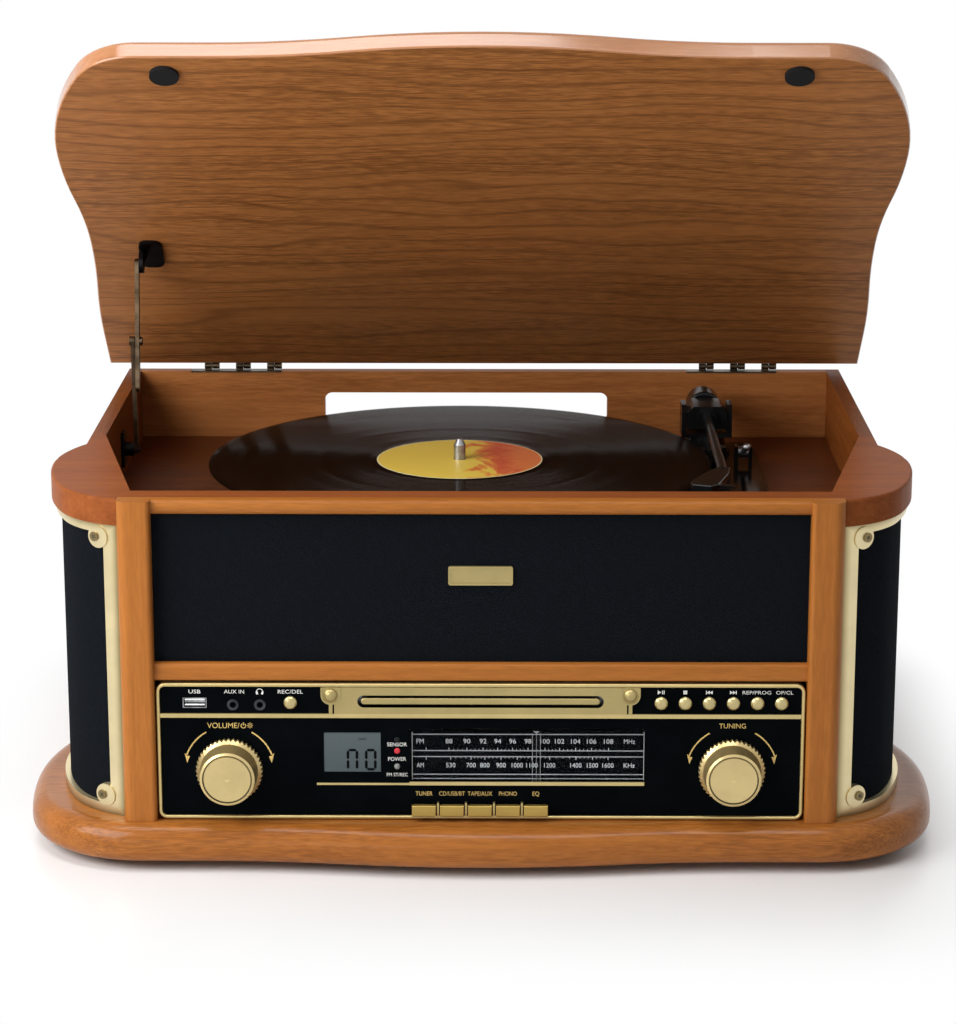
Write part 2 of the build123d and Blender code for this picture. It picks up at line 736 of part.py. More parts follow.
def make_grilles():
    """Curved cloth grilles, their gold frames and the screws in the frames' bosses."""
    window = chamber_window()
    ring = (deck_lobe(-cloth_inset) - deck_lobe(-cloth_inset - cloth_thickness)) & window
    cloth = plan_plate(ring, plinth_top, deck_bottom)
    save("grille_cloths", *both(cloth))
    face = cloth_inset - frame_proud
    band = (deck_lobe(-face) - deck_lobe(-cloth_inset + 0.05)) & window
    frame = plan_plate(band, plinth_top, deck_bottom)
    opening = rect(column_outer_x + seat_gap + frame_bar, plinth_ear_x * 1.2, lobe_front_y * 1.2,
                   chamber_rear_y() - frame_bar)
    frame -= plan_plate(opening, plinth_top + frame_band, deck_bottom - frame_band)
    strip = rect(column_outer_x + seat_gap, column_outer_x + seat_gap + frame_bead, lobe_front_y * 1.2, 0)
    bead = (deck_lobe(-face + frame_bead_rise) - deck_lobe(-face - 0.05)) & window & strip
    frame += plan_plate(bead, plinth_top, deck_bottom)
    screws = []
    for point, out, step in boss_places():
        frame += rod(point + out * 0.05, out, boss_radius, frame_proud + boss_rise - 0.05)
        head = rod(point + step + out * (frame_proud + boss_rise), out, screw_radius, screw_head)
        screws += both(head)
    save("grille_frames", *both(frame))
    outer = wall_inner_x - back_screw_inset
    for x in (-outer, -outer * back_screw_share, outer * back_screw_share, outer):
        for z in (plinth_top + back_screw_inset, floor_bottom - floor_thickness):
            screws.append(rod((x, back_face_y, z), (0, 1, 0), screw_radius, screw_head))
    save("cabinet_screws", *screws)


def make_drivers():
    """Loudspeaker drivers: flange on the baffle, cone, basket and magnet behind it."""
    hole = driver_radius - 3 - seat_gap
    throat = magnet_radius - 6
    back = -driver_depth
    points = [(0, -9), (7, -8), (throat - 4, -11), (hole - 6, driver_flange - 1.5),
              (hole - 3, driver_flange), (driver_radius, driver_flange), (driver_radius, 0), (hole, 0),
              (hole - 1.5, -board - 1), (throat, back + magnet_thickness + 3),
              (throat, back + magnet_thickness), (magnet_radius, back + magnet_thickness),
              (magnet_radius, back), (0, back)]
    profile = make_face(Plane.XZ * Polyline(*points, close=True))
    driver = baffle_frame() * revolve(profile, Axis.Z)
    save("speaker_drivers", *both(driver))


# ================================================================== control panel
def make_panel_frame():
    """Gold frame of the control panel, with divider, key separators and dial ledge."""
    half = panel_half_width
    back_y = fascia_back_y
    outline = rounded(-half, half, panel_low, panel_high, panel_corner_radius)
    opening = rounded(-half + panel_bar, half - panel_bar, panel_low + panel_bar,
                      panel_high - panel_bar, panel_corner_radius - panel_bar)
    frame = front_plate(outline - opening, back_y, panel_front_y)
    front_edges = frame.faces().sort_by(Axis.Y)[0].edges()
    frame = fillet(front_edges, panel_bar * 0.4)
    joint_x = half - panel_corner_radius - panel_bar
    middle = block(-joint_x, joint_x, panel_front_y - 1, back_y + 1, panel_low - 1, panel_high + 1)
    pieces = [frame & middle, frame - middle]
    divider = rect(-half + panel_bar, half - panel_bar, divider_z - divider_bar / 2,
                   divider_z + divider_bar / 2)
    pieces.append(front_plate(divider, fascia_y, panel_front_y + 0.3))
    for index in range(1, len(key_names)):
        x = first_key_x + (index - 0.5) * key_pitch
        bar = rect(x - key_bar / 2, x + key_bar / 2, panel_low + panel_bar, key_low_z + key_height + 0.6)
        pieces.append(front_plate(bar, fascia_y, panel_front_y - 1.2))
    thin = rect(-ledge_half_width, dial_x[0], ledge_z, ledge_z + ledge_height * 0.6)
    wide = rect(dial_x[0], ledge_half_width, ledge_z, ledge_z + ledge_height)
    pieces.append(front_plate(thin, fascia_y, fascia_y - ledge_proud * 0.6))
    pieces.append(front_plate(wide, fascia_y, fascia_y - ledge_proud))
    save("panel_frame", *pieces)


def control_holes():
    """Every hole through the fascia, as one sketch drawn from the front."""
    holes = Pos(0, slot_z) * SlotOverall(slot_length, slot_height)
    holes += Pos(usb_x, usb_z) * Rectangle(usb_size[0] + 0.2, usb_size[1] + 0.2)
    for x, z in jack_spots:
        holes += Pos(x, z) * Circle(jack_radius - 0.8)
    for x in [record_button_x] + button_xs():
        holes += Pos(x, button_z) * Circle(button_stem_radius + sliding_gap)
    for x in key_xs():
        holes += Pos(x, key_low_z + key_height / 2) * Rectangle(key_width - 2 + 2 * sliding_gap,
                                                                key_height - 2 + 2 * sliding_gap)
    for side in (-1, 1):
        holes += Pos(side * knob_x, knob_z) * Circle(shaft_radius + running_fit)
    holes += rect(display_x[0] - 0.1, display_x[1] + 0.1, display_z[0] - 0.1, display_z[1] + 0.1)
    for z in lamp_zs + (sensor_z,):
        holes += Pos(lamp_x, z) * Circle(lamp_radius + 0.1)
    slot_low = dial_z[1] - 0.7 - pointer_slot_height
    holes += rect(pointer_x + pointer_travel[0] - 2.2, pointer_x + pointer_travel[1] + 2.2, slot_low,
                  slot_low + pointer_slot_height)
    return holes


def button_xs():
    """X of the six disc buttons."""
    first, last = button_shares
    step = (last - first) / (len(button_names) - 1)
    return [row_start + (first + index * step) * row_length for index in range(len(button_names))]


def key_xs():
    """X of the five function keys."""
    return [first_key_x + index * key_pitch for index in range(len(key_names))]


def make_fascia():
    """Glossy black fascia with the dial's pocket and all the control holes."""
    half = panel_half_width - panel_bar - 0.1
    outline = rounded(-half, half, panel_low + panel_bar + 0.1, panel_high - panel_bar - 0.1,
                      panel_corner_radius - panel_bar)
    fascia = front_plate(outline - control_holes(), fascia_back_y, fascia_y)
    pocket = rect(*dial_x, *dial_z)
    fascia -= front_plate(pocket, fascia_y + dial_pocket_depth, fascia_y - 1)
    save("fascia", fascia)
    window = rounded(dial_x[0] + 0.1, dial_x[1] - 0.1, dial_z[0] + 0.1, dial_z[1] - 0.1, 0.6)
    save("dial_window", front_plate(window, fascia_y + window_thickness, fascia_y))


def make_surround():
    """Gold plate round the disc slot, with a boss and a dome cap at each end."""
    low = divider_z + divider_bar / 2
    high = panel_high - panel_bar - 0.1
    plate_end = surround_half_width - stem_bar / 2 - stem_gap
    shape = rect(-plate_end, plate_end, low, high)
    for side in (-1, 1):
        x = side * surround_half_width
        shape += Pos(x, dome_z) * Circle(surround_boss_radius)
        shape += rect(x - surround_boss_radius, x + surround_boss_radius, dome_z, high)
        shape += rect(x - stem_bar / 2, x + stem_bar / 2, low, dome_z)
    shape &= rect(-panel_half_width, panel_half_width, low, high)
    shape -= Pos(0, slot_z) * SlotOverall(slot_length, slot_height)
    plate = front_plate(shape, fascia_y, fascia_y - surround_thickness)
    face_y = fascia_y - surround_thickness
    dome = [(0, face_y + 0.5), (dome_radius, face_y + 0.5), (dome_radius, face_y)]
    steps = 4
    for step in range(1, steps):
        angle = radians(90 * step / steps)
        dome.append((dome_radius * cos(angle), face_y - dome_height * sin(angle)))
    dome.append((0, face_y - dome_height))
    inside = surround_boss_radius - stem_ridge
    ridge = Circle(surround_boss_radius) + rect(-surround_boss_radius, surround_boss_radius, 0, high - dome_z)
    ridge -= Circle(inside) + rect(-inside, inside, 0, high - dome_z + 1)
    ridge += rect(-stem_bar / 2, stem_bar / 2, low - dome_z, -inside)
    for side in (-1, 1):
        x = side * surround_half_width
        plate += front_plate(Pos(x, dome_z) * ridge, face_y + 0.2, face_y - stem_ridge_height)
        plate += turned_forward(dome, x, dome_z)
    save("cd_surround", plate)


def make_sockets():
    """USB socket with its tongue, and the two jack sockets."""
    shell = Pos(usb_x, usb_z) * (Rectangle(*usb_size)
                                 - Rectangle(usb_size[0] - 2 * usb_wall, usb_size[1] - 2 * usb_wall))
    usb = front_plate(shell, fascia_y + usb_depth, fascia_y - 0.2)
    usb += front_plate(Pos(usb_x, usb_z) * Rectangle(*usb_size), fascia_y + usb_depth,
                       fascia_y + usb_depth - 1)
    tongue = Pos(usb_x, usb_z + 0.6) * Rectangle(usb_size[0] - 2, 1.6)
    usb += front_plate(tongue, fascia_y + usb_depth - 0.5, fascia_y + 1.2)
    pieces = [usb]
    for x, z in jack_spots:
        collar = jack_radius - 0.8 - 0.05
        jack = turned_forward([(jack_bore_radius, fascia_y - 0.7), (jack_radius, fascia_y - 0.7),
                               (jack_radius, fascia_y), (collar, fascia_y), (collar, fascia_back_y + 4),
                               (0, fascia_back_y + 4), (0, fascia_back_y + 2),
                               (jack_bore_radius, fascia_back_y + 2)], x, z)
        pieces.append(jack)
    save("front_sockets", *pieces)


def make_buttons():
    """Domed gold buttons on stems."""
    stem_end = control_board_y - 2.0 - button_travel - 0.4
    back = fascia_y - button_travel - 0.3
    front = fascia_y - button_proud - button_travel
    shoulder = button_radius * 0.96
    points = [(0, stem_end), (button_stem_radius, stem_end), (button_stem_radius, back),
              (button_radius - 0.4, back), (button_radius, back - 0.4), (shoulder, front + 1.3),
              (button_radius * 0.75, front + 0.5), (button_radius * 0.4, front + 0.1), (0, front)]
    save("rec_button", turned_forward(points, record_button_x, button_z))
    for name, x in zip(button_names, button_xs()):
        save(name, turned_forward(points, x, button_z))


def make_keys():
    """Five gold function keys with a stepped top."""
    front = fascia_y - key_proud
    back = fascia_y - key_travel - 0.4
    for name, x in zip(key_names, key_xs()):
        low, high = key_low_z, key_low_z + key_height
        cap = front_plate(rect(x - key_width / 2, x + key_width / 2, low, high), back, front)
        cap = fillet(cap.faces().sort_by(Axis.Y)[0].edges(), 0.6)
        stem = front_plate(rect(x - key_width / 2 + 1, x + key_width / 2 - 1, low + 1, high - 1),
                           fascia_back_y + 4, back)
        save(name, cap + stem)


def make_knob(name, x):
    """Knob with a toothed ring, a tapered body and a capped face, on its shaft."""
    base = fascia_y - 0.5
    ring_front = base - knob_ring_length
    front = base - knob_length
    points = []
    for index in range(knob_teeth * 2):
        radius = knob_ring_radius - (knob_tooth_depth if index % 2 else 0)
        angle = pi * index / knob_teeth
        points.append((radius * cos(angle), radius * sin(angle)))
    ring = front_plate(make_face(Polyline(*points, close=True)), base, ring_front)
    taper = turned_forward([(0, base), (knob_ring_radius + 1, base),
                            (knob_ring_radius + 1, ring_front + 3.2),
                            (knob_ring_radius - 2.2, ring_front), (0, ring_front)], 0, 0)
    ring = ring & taper
    lip = knob_cap_radius - 1.1
    groove = knob_face_radius + 0.9
    body = turned_forward([(0, ring_front + 1), (knob_ring_radius - 2.3, ring_front + 1),
                           (knob_ring_radius - 2.3, ring_front), (knob_cap_radius - 0.4, front + 2.4),
                           (knob_cap_radius, front + 1.9), (knob_cap_radius, front + 0.7), (lip, front),
                           (groove, front), (groove, front + 0.9), (knob_face_radius, front + 0.9),
                           (knob_face_radius, front + 0.2), (0, front + 0.4)], 0, 0)
    shaft = rod((0, control_board_y - 3.0, 0), (0, -1, 0), shaft_radius,
                control_board_y - 3.0 - ring_front)
    save(name, Pos(x, 0, knob_z) * (ring + body + shaft))


def make_pointer():
    """Clear dial pointer with the stem and carriage that the tuning cord pulls."""
    y_front = fascia_y + window_thickness + 0.6
    y_back = y_front + pointer_thickness
    pointer = front_plate(rect(pointer_x - pointer_width / 2, pointer_x + pointer_width / 2,
                               *pointer_z), y_back, y_front)
    slot_low = dial_z[1] - 0.7 - pointer_slot_height
    stem_z = (slot_low + sliding_gap, slot_low + pointer_slot_height - sliding_gap)
    stem_y = fascia_back_y + 0.3
    pointer += front_plate(rect(pointer_x - 1.8, pointer_x + 1.8, stem_z[0], pointer_z[1]),
                           y_back, y_front)
    pointer += front_plate(rect(pointer_x - 1.8, pointer_x + 1.8, *stem_z), stem_y, y_front)
    pointer += front_plate(rect(pointer_x - 5, pointer_x + 5, stem_z[0] - 2, stem_z[1] + 2),
                           stem_y + 2.5, stem_y)
    save("dial_pointer", pointer)


def make_display():
    """Display board with the liquid crystal panel, two lamps and the remote sensor."""
    board_y = fascia_back_y + board_thickness
    module = front_plate(rect(display_x[0] - 3, lamp_x + 4, display_z[0] - 4, display_z[1] + 3),
                         board_y, fascia_back_y)
    module += front_plate(rect(*display_x, *display_z), fascia_back_y, fascia_y + 0.3)
    for z in lamp_zs + (sensor_z,):
        module += turned_forward([(0, fascia_back_y), (lamp_radius, fascia_back_y),
                                  (lamp_radius, fascia_y - 0.2), (lamp_radius * 0.7, fascia_y - 0.8),
                                  (0, fascia_y - 1.1)], lamp_x, z)
    save("display_module", module)


def make_circuit_boards():
    """Two upright control boards with potentiometers and switches, and the main board."""
    pieces = []
    low, high = panel_low + 8, panel_high - 4
    for side in (-1, 1):
        inner, outer = side * (drive_half_width + 6), side * (panel_half_width - 6)
        card = front_plate(rect(inner, outer, low, high), control_board_y + board_thickness,
                           control_board_y)
        pot = rod((side * knob_x, control_board_y, knob_z), (0, -1, 0), 8.5, control_gap)
        pot -= rod((side * knob_x, control_board_y - 2.6, knob_z), (0, -1, 0),
                   shaft_radius + running_fit, control_gap)
        card += pot
        switch_xs = [record_button_x] if side < 0 else button_xs()
        for x in switch_xs:
            card += front_plate(Pos(x, button_z) * Rectangle(6, 6), control_board_y,
                                control_board_y - 2.0)
        if side < 0:
            card -= front_plate(rect(usb_x - 9, jack_spots[1][0] + 6, usb_z - 7, high + 1),
                                control_board_y + 3, control_board_y - 1)
        pieces.append(card)
    x0, x1 = main_board_x
    y0, y1 = main_board_y
    top = plinth_top + standoff
    main = block(x0, x1, y0, y1, top, top + board_thickness)
    for x in (x0 + 6, x1 - 6):
        for y in (y0 + 6, y1 - 6):
            main += rod((x, y, plinth_top), (0, 0, 1), 3, standoff)
    for index in range(4):
        main += rod((x0 + capacitor_inset + index * capacitor_pitch, y1 - capacitor_inset,
                     top + board_thickness), (0, 0, 1), capacitor_radius, capacitor_height)
    bar_x1 = x1 - radiator_inset
    bar_x0 = bar_x1 - radiator_length
    bar_y1 = y0 + radiator_inset + radiator_bar
    bar_top = top + board_thickness + radiator_height
    main += block(bar_x0, bar_x1, y0 + radiator_inset, bar_y1, top + board_thickness, bar_top)
    fin_pitch = radiator_length / 6
    for index in range(6):
        fin_x = bar_x0 + (index + 0.35) * fin_pitch
        main += block(fin_x, fin_x + fin_pitch * 0.3, bar_y1, bar_y1 + radiator_fin,
                      top + board_thickness, bar_top)
    pieces.append(main)
    save("circuit_boards", *pieces)


def make_transformer():
    """Mains transformer: laminated core round a taller winding, on two mounting ears."""
    x, y = transformer_x, transformer_y
    wide, deep, tall = transformer_size
    base = plinth_top
    core = block(x - wide / 2, x + wide / 2, y - deep / 4, y + deep / 4, base, base + tall)
    winding = block(x - wide / 4, x + wide / 4, y - deep / 2, y + deep / 2, base + 8, base + tall - 8)
    winding = fillet(winding.edges().filter_by(Axis.Z), 6)
    ears = block(x - wide / 2 - 10, x + wide / 2 + 10, y - 8, y + 8, base, base + 2)
    save("power_transformer", core + winding + ears)


# ================================================================== CD tray and drive
def make_cd_unit():
    """Disc tray with its round recess and front bar, and the drive that it runs in."""
    bar_y = fascia_y - surround_thickness
    z0 = slot_z - tray_thickness / 2
    z1 = z0 + tray_thickness
    rear_y = bar_y + tray_length
    tray = block(-tray_half_width, tray_half_width, bar_y + 3, rear_y, z0, z1)
    disc_y = bar_y + tray_disc_inset + disc_radius
    tray -= Pos(0, disc_y, z1 - disc_recess) * Cylinder(disc_radius, 5, align=MIN_Z)
    tray -= plan_plate(Pos(0, disc_y + tray_window_offset) * SlotOverall(*tray_window, rotation=90), z0 - 1,
                       z1 + 1)
    bar = front_plate(Pos(0, slot_z) * SlotOverall(tray_bar_length, tray_bar_height), bar_y + 3.5, bar_y)
    bar = fillet(bar.faces().sort_by(Axis.Y)[0].edges(), 0.8)
    save("cd_tray", tray + bar)
    half = drive_half_width
    low = z0 - drive_wall - sliding_gap
    high = z1 + drive_head_room + 3
    front = fascia_back_y
    body = block(-half, half, front, front + drive_depth, low, high)
    body -= block(-tray_half_width - sliding_gap, tray_half_width + sliding_gap, front - 1,
                  front + drive_depth - drive_wall, z0 - sliding_gap, z1 + drive_head_room)
    body = fillet(body.edges().filter_by(Axis.Z).filter_by(
        lambda e: e.center().Y > front + drive_depth - 1), 5)
    legs_y = front + drive_depth / 2 - drive_leg_length / 2
    for side in (-1, 1):
        x0, x1 = sorted((side * half, side * (half - drive_leg)))
        body += block(x0, x1, legs_y, legs_y + drive_leg_length, plinth_top + drive_leg, low)
        f0, f1 = sorted((side * half, side * (half - 14)))
        body += block(f0, f1, legs_y, legs_y + drive_leg_length, plinth_top, plinth_top + drive_leg)
    save("cd_drive", body)


# ================================================================== cassette slot
def cassette_body(gap=0.0):
    """Side outline of the cassette unit behind its bezel, which covers slot and key."""
    half_width = cassette_slot[0] / 2 + cassette_body_wall + gap
    low = cassette_z - cassette_bezel[1] / 2 + cassette_body_wall / 2 - gap
    high = cassette_z + cassette_slot[1] / 2 + cassette_body_wall + gap
    return rect(cassette_y - half_width, cassette_y + half_width, low, high)


def make_cassette():
    """Cassette unit on the right side: bezel and body in one, spring flap, eject key."""
    face_x = cabinet_half_width + cassette_bezel_thickness
    slot_w, slot_h = cassette_slot
    bezel = side_plate(rounded(cassette_y - cassette_bezel[0] / 2, cassette_y + cassette_bezel[0] / 2,
                               cassette_z - cassette_bezel[1] / 2, cassette_z + cassette_bezel[1] / 2,
                               4), cabinet_half_width, face_x)
    bezel = chamfer(bezel.faces().sort_by(Axis.X)[-1].edges(), 0.8)
    body = bezel + side_plate(cassette_body(), cabinet_half_width - cassette_body_depth,
                              cabinet_half_width)
    cavity = side_plate(rect(cassette_y - slot_w / 2, cassette_y + slot_w / 2,
                             cassette_z - slot_h / 2, cassette_z + slot_h / 2),
                        cabinet_half_width - cassette_body_depth + 4, face_x + 1)
    body -= cavity
    pin_x = face_x - 2.6
    pin_z = cassette_z + slot_h / 2 - 1.4
    bore_reach = slot_w / 2 + 2.5
    body -= rod((pin_x, cassette_y - bore_reach, pin_z), (0, 1, 0), flap_pin_radius + running_fit,
                2 * bore_reach)
    key_w, key_h = cassette_key_size
    key_z = cassette_z - slot_h / 2 - (cassette_bezel[1] - slot_h) / 4
    key_y = cassette_y - slot_w / 2 + key_w
    guide = rect(key_y - key_w / 2 - sliding_gap, key_y + key_w / 2 + sliding_gap,
                 key_z - key_h / 2 - sliding_gap, key_z + key_h / 2 + sliding_gap)
    body -= side_plate(guide, face_x - 8, face_x + 1)
    save("cassette_deck", body)
    flap_z0 = cassette_z - slot_h / 2 + sliding_gap
    flap = side_plate(rect(cassette_y - slot_w / 2 + sliding_gap, cassette_y + slot_w / 2 - sliding_gap,
                           flap_z0, pin_z), pin_x - flap_thickness / 2, pin_x + flap_thickness / 2)
    flap += rod((pin_x, cassette_y - bore_reach + 0.4, pin_z), (0, 1, 0), flap_pin_radius,
                2 * bore_reach - 0.8)
    save("cassette_flap", flap)
    key = side_plate(rect(key_y - key_w / 2, key_y + key_w / 2, key_z - key_h / 2, key_z + key_h / 2),
                     face_x - 8 + cassette_key_travel + 0.4, face_x + cassette_key_proud)
    key = fillet(key.faces().sort_by(Axis.X)[-1].edges(), 0.8)
    save("cassette_key", key)


# ================================================================== record player
def make_well_floor():
    """Wooden floor of the well with the cut-out that the chassis drops into."""
    floor = plan_plate(well_plan(well_front_y - board, back_inner_y), floor_bottom, floor_top)
    floor -= plan_plate(chassis_plan(-chassis_lip), floor_bottom - 1, floor_top + 1)
    save("turntable_board", floor)


def chassis_plan(grow=0.0):
    """Plan of the chassis plate, or a line inside it."""
    return rounded(chassis_x[0] - grow, chassis_x[1] + grow, chassis_y[0] - grow, chassis_y[1] + grow,
                   chassis_round + grow)


def pulley_spot():
    """Plan point of the motor shaft."""
    angle = radians(pulley_angle)
    return spindle_x + pulley_offset * cos(angle), spindle_y + pulley_offset * sin(angle)


def make_chassis():
    """Black chassis plate with bearing, arm post, arm rest and lever slots."""
    plate = plan_plate(chassis_plan(), floor_top, chassis_top)
    plate = fillet(plate.faces().sort_by(Axis.Z)[-1].edges(), 1.2)
    skirt = chassis_plan(-chassis_lip - 0.5) - chassis_plan(-chassis_lip - 3.0)
    plate += plan_plate(skirt, floor_bottom + 1, floor_top)
    plate += Pos(spindle_x, spindle_y, floor_bottom) * Cylinder(9, floor_thickness, align=MIN_Z)
    px, py = pulley_spot()
    plate -= Pos(px, py, floor_top - 1) * Cylinder(pulley_radius + 3, 9, align=MIN_Z)
    plate -= Pos(spindle_x, spindle_y, floor_bottom - 1) * Cylinder(
        spindle_radius + running_fit, 20, align=MIN_Z)
    plate += Pos(arm_x, arm_y, chassis_top - 0.5) * Cylinder(turret_radius + 3, 2.5, align=MIN_Z)
    plate -= Pos(arm_x, arm_y, floor_top - 1) * Cylinder(5 + running_fit, 20, align=MIN_Z)
    rest_top = arm_z - arm_tube_radius - 0.3
    post = block(arm_x - 3, arm_x + 3, arm_rest_y - 3, arm_rest_y + 3, chassis_top - 0.5, rest_top)
    prong = block(arm_x + arm_tube_radius + 0.4, arm_x + arm_tube_radius + 2.4, arm_rest_y - 3,
                  arm_rest_y + 3, rest_top - 4, rest_top + 5)
    plate += post + prong + block(arm_x + 2, arm_x + arm_tube_radius + 2.4, arm_rest_y - 3,
                                  arm_rest_y + 3, rest_top - 4, rest_top - 1)
    slot = Pos(speed_x, speed_y) * SlotOverall(2 * speed_travel + 5, 3.6, rotation=90)
    plate -= plan_plate(slot, floor_top - 1, chassis_top + 1)
    for dx in (-5.4, 3.4):
        plate += block(cue_x + dx, cue_x + dx + 2, cue_y - 4, cue_y + 4, chassis_top - 0.5,
                       chassis_top + 12)
    plate -= rod((cue_x - 6, cue_y, chassis_top + 8), (1, 0, 0), 1.5 + running_fit, 12)
    save("turntable_chassis", plate)


def make_platter():
    """Platter with its skirt, drive ring and spindle, and the record that lies on it."""
    top = platter_top
    under = top - platter_disc
    ring_low = under - drive_ring_height
    hub_low = chassis_top + 0.3
    tip = record_top + spindle_above_record
    r_spin = spindle_radius
    ring_in = drive_ring_radius - drive_ring_wall
    points = [(0, tip), (r_spin * 0.45, tip - 0.5), (r_spin, tip - 4), (r_spin, top),
              (platter_radius - 1, top), (platter_radius, top - 1),
              (platter_radius, top - platter_skirt),
              (platter_radius - 3, top - platter_skirt), (platter_radius - 3, under),
              (drive_ring_radius, under), (drive_ring_radius, ring_low), (ring_in, ring_low),
              (ring_in, under), (11, under), (11, hub_low), (r_spin, hub_low),
              (r_spin, floor_bottom + 1), (0, floor_bottom + 1)]
    save("platter", turned(points, spindle_x, spindle_y))
    bore = record_bore_radius
    face = record_top - label_step
    edge = record_radius
    points = [(bore, top + 0.02), (edge, top + 0.5), (edge, record_top - 0.5), (edge - 3, face),
              (label_radius + 4, face), (label_radius, record_top), (bore, record_top)]
    save("record", turned(points, spindle_x, spindle_y))


def belt_plan(grow):
    """Plan inside a belt round the drive ring and the pulley, grown by an offset."""
    px, py = pulley_spot()
    big = drive_ring_radius + 0.1 + grow
    small = pulley_radius + 0.1 + grow
    angle = atan2(py - spindle_y, px - spindle_x)
    lean = acos((big - small) / pulley_offset)
    corners = []
    for sign in (1, -1):
        a = angle + sign * lean
        corners.append((spindle_x + big * cos(a), spindle_y + big * sin(a)))
        corners.append((px + small * cos(a), py + small * sin(a)))
    web = make_face(Polyline(corners[0], corners[1], corners[3], corners[2], close=True))
    return web + Pos(spindle_x, spindle_y) * Circle(big) + Pos(px, py) * Circle(small)


def make_drive():
    """Motor under the chassis, its pulley and the belt to the platter's drive ring."""
    px, py = pulley_spot()
    belt_mid = platter_top - platter_disc - drive_ring_height * 0.6
    belt = belt_plan(belt_thickness) - belt_plan(0.0)
    save("drive_belt", plan_plate(belt, belt_mid - belt_height / 2, belt_mid + belt_height / 2))
    motor_top = floor_top
    motor = Pos(px, py, motor_top - motor_height) * Cylinder(motor_radius, motor_height, align=MIN_Z)
    motor = fillet(motor.edges().filter_by(GeomType.CIRCLE), 2)
    motor += Pos(px, py, motor_top - motor_height - 2.5) * Cylinder(5, 3, align=MIN_Z)
    motor -= Pos(px, py, motor_top - 6) * Cylinder(1.0 + running_fit, 7, align=MIN_Z)
    save("drive_motor", motor)
    low, high = belt_mid - belt_height / 2 - 0.6, belt_mid + belt_height / 2 + 0.6
    r = pulley_radius
    points = [(0, motor_top - 5), (1.0, motor_top - 5), (1.0, low - 1.2), (r + 1.2, low - 1.2),
              (r + 1.2, low), (r, low), (r, high), (r + 1.2, high), (r + 1.2, high + 1.2),
              (0, high + 1.2)]
    save("motor_pulley", turned(points, px, py))


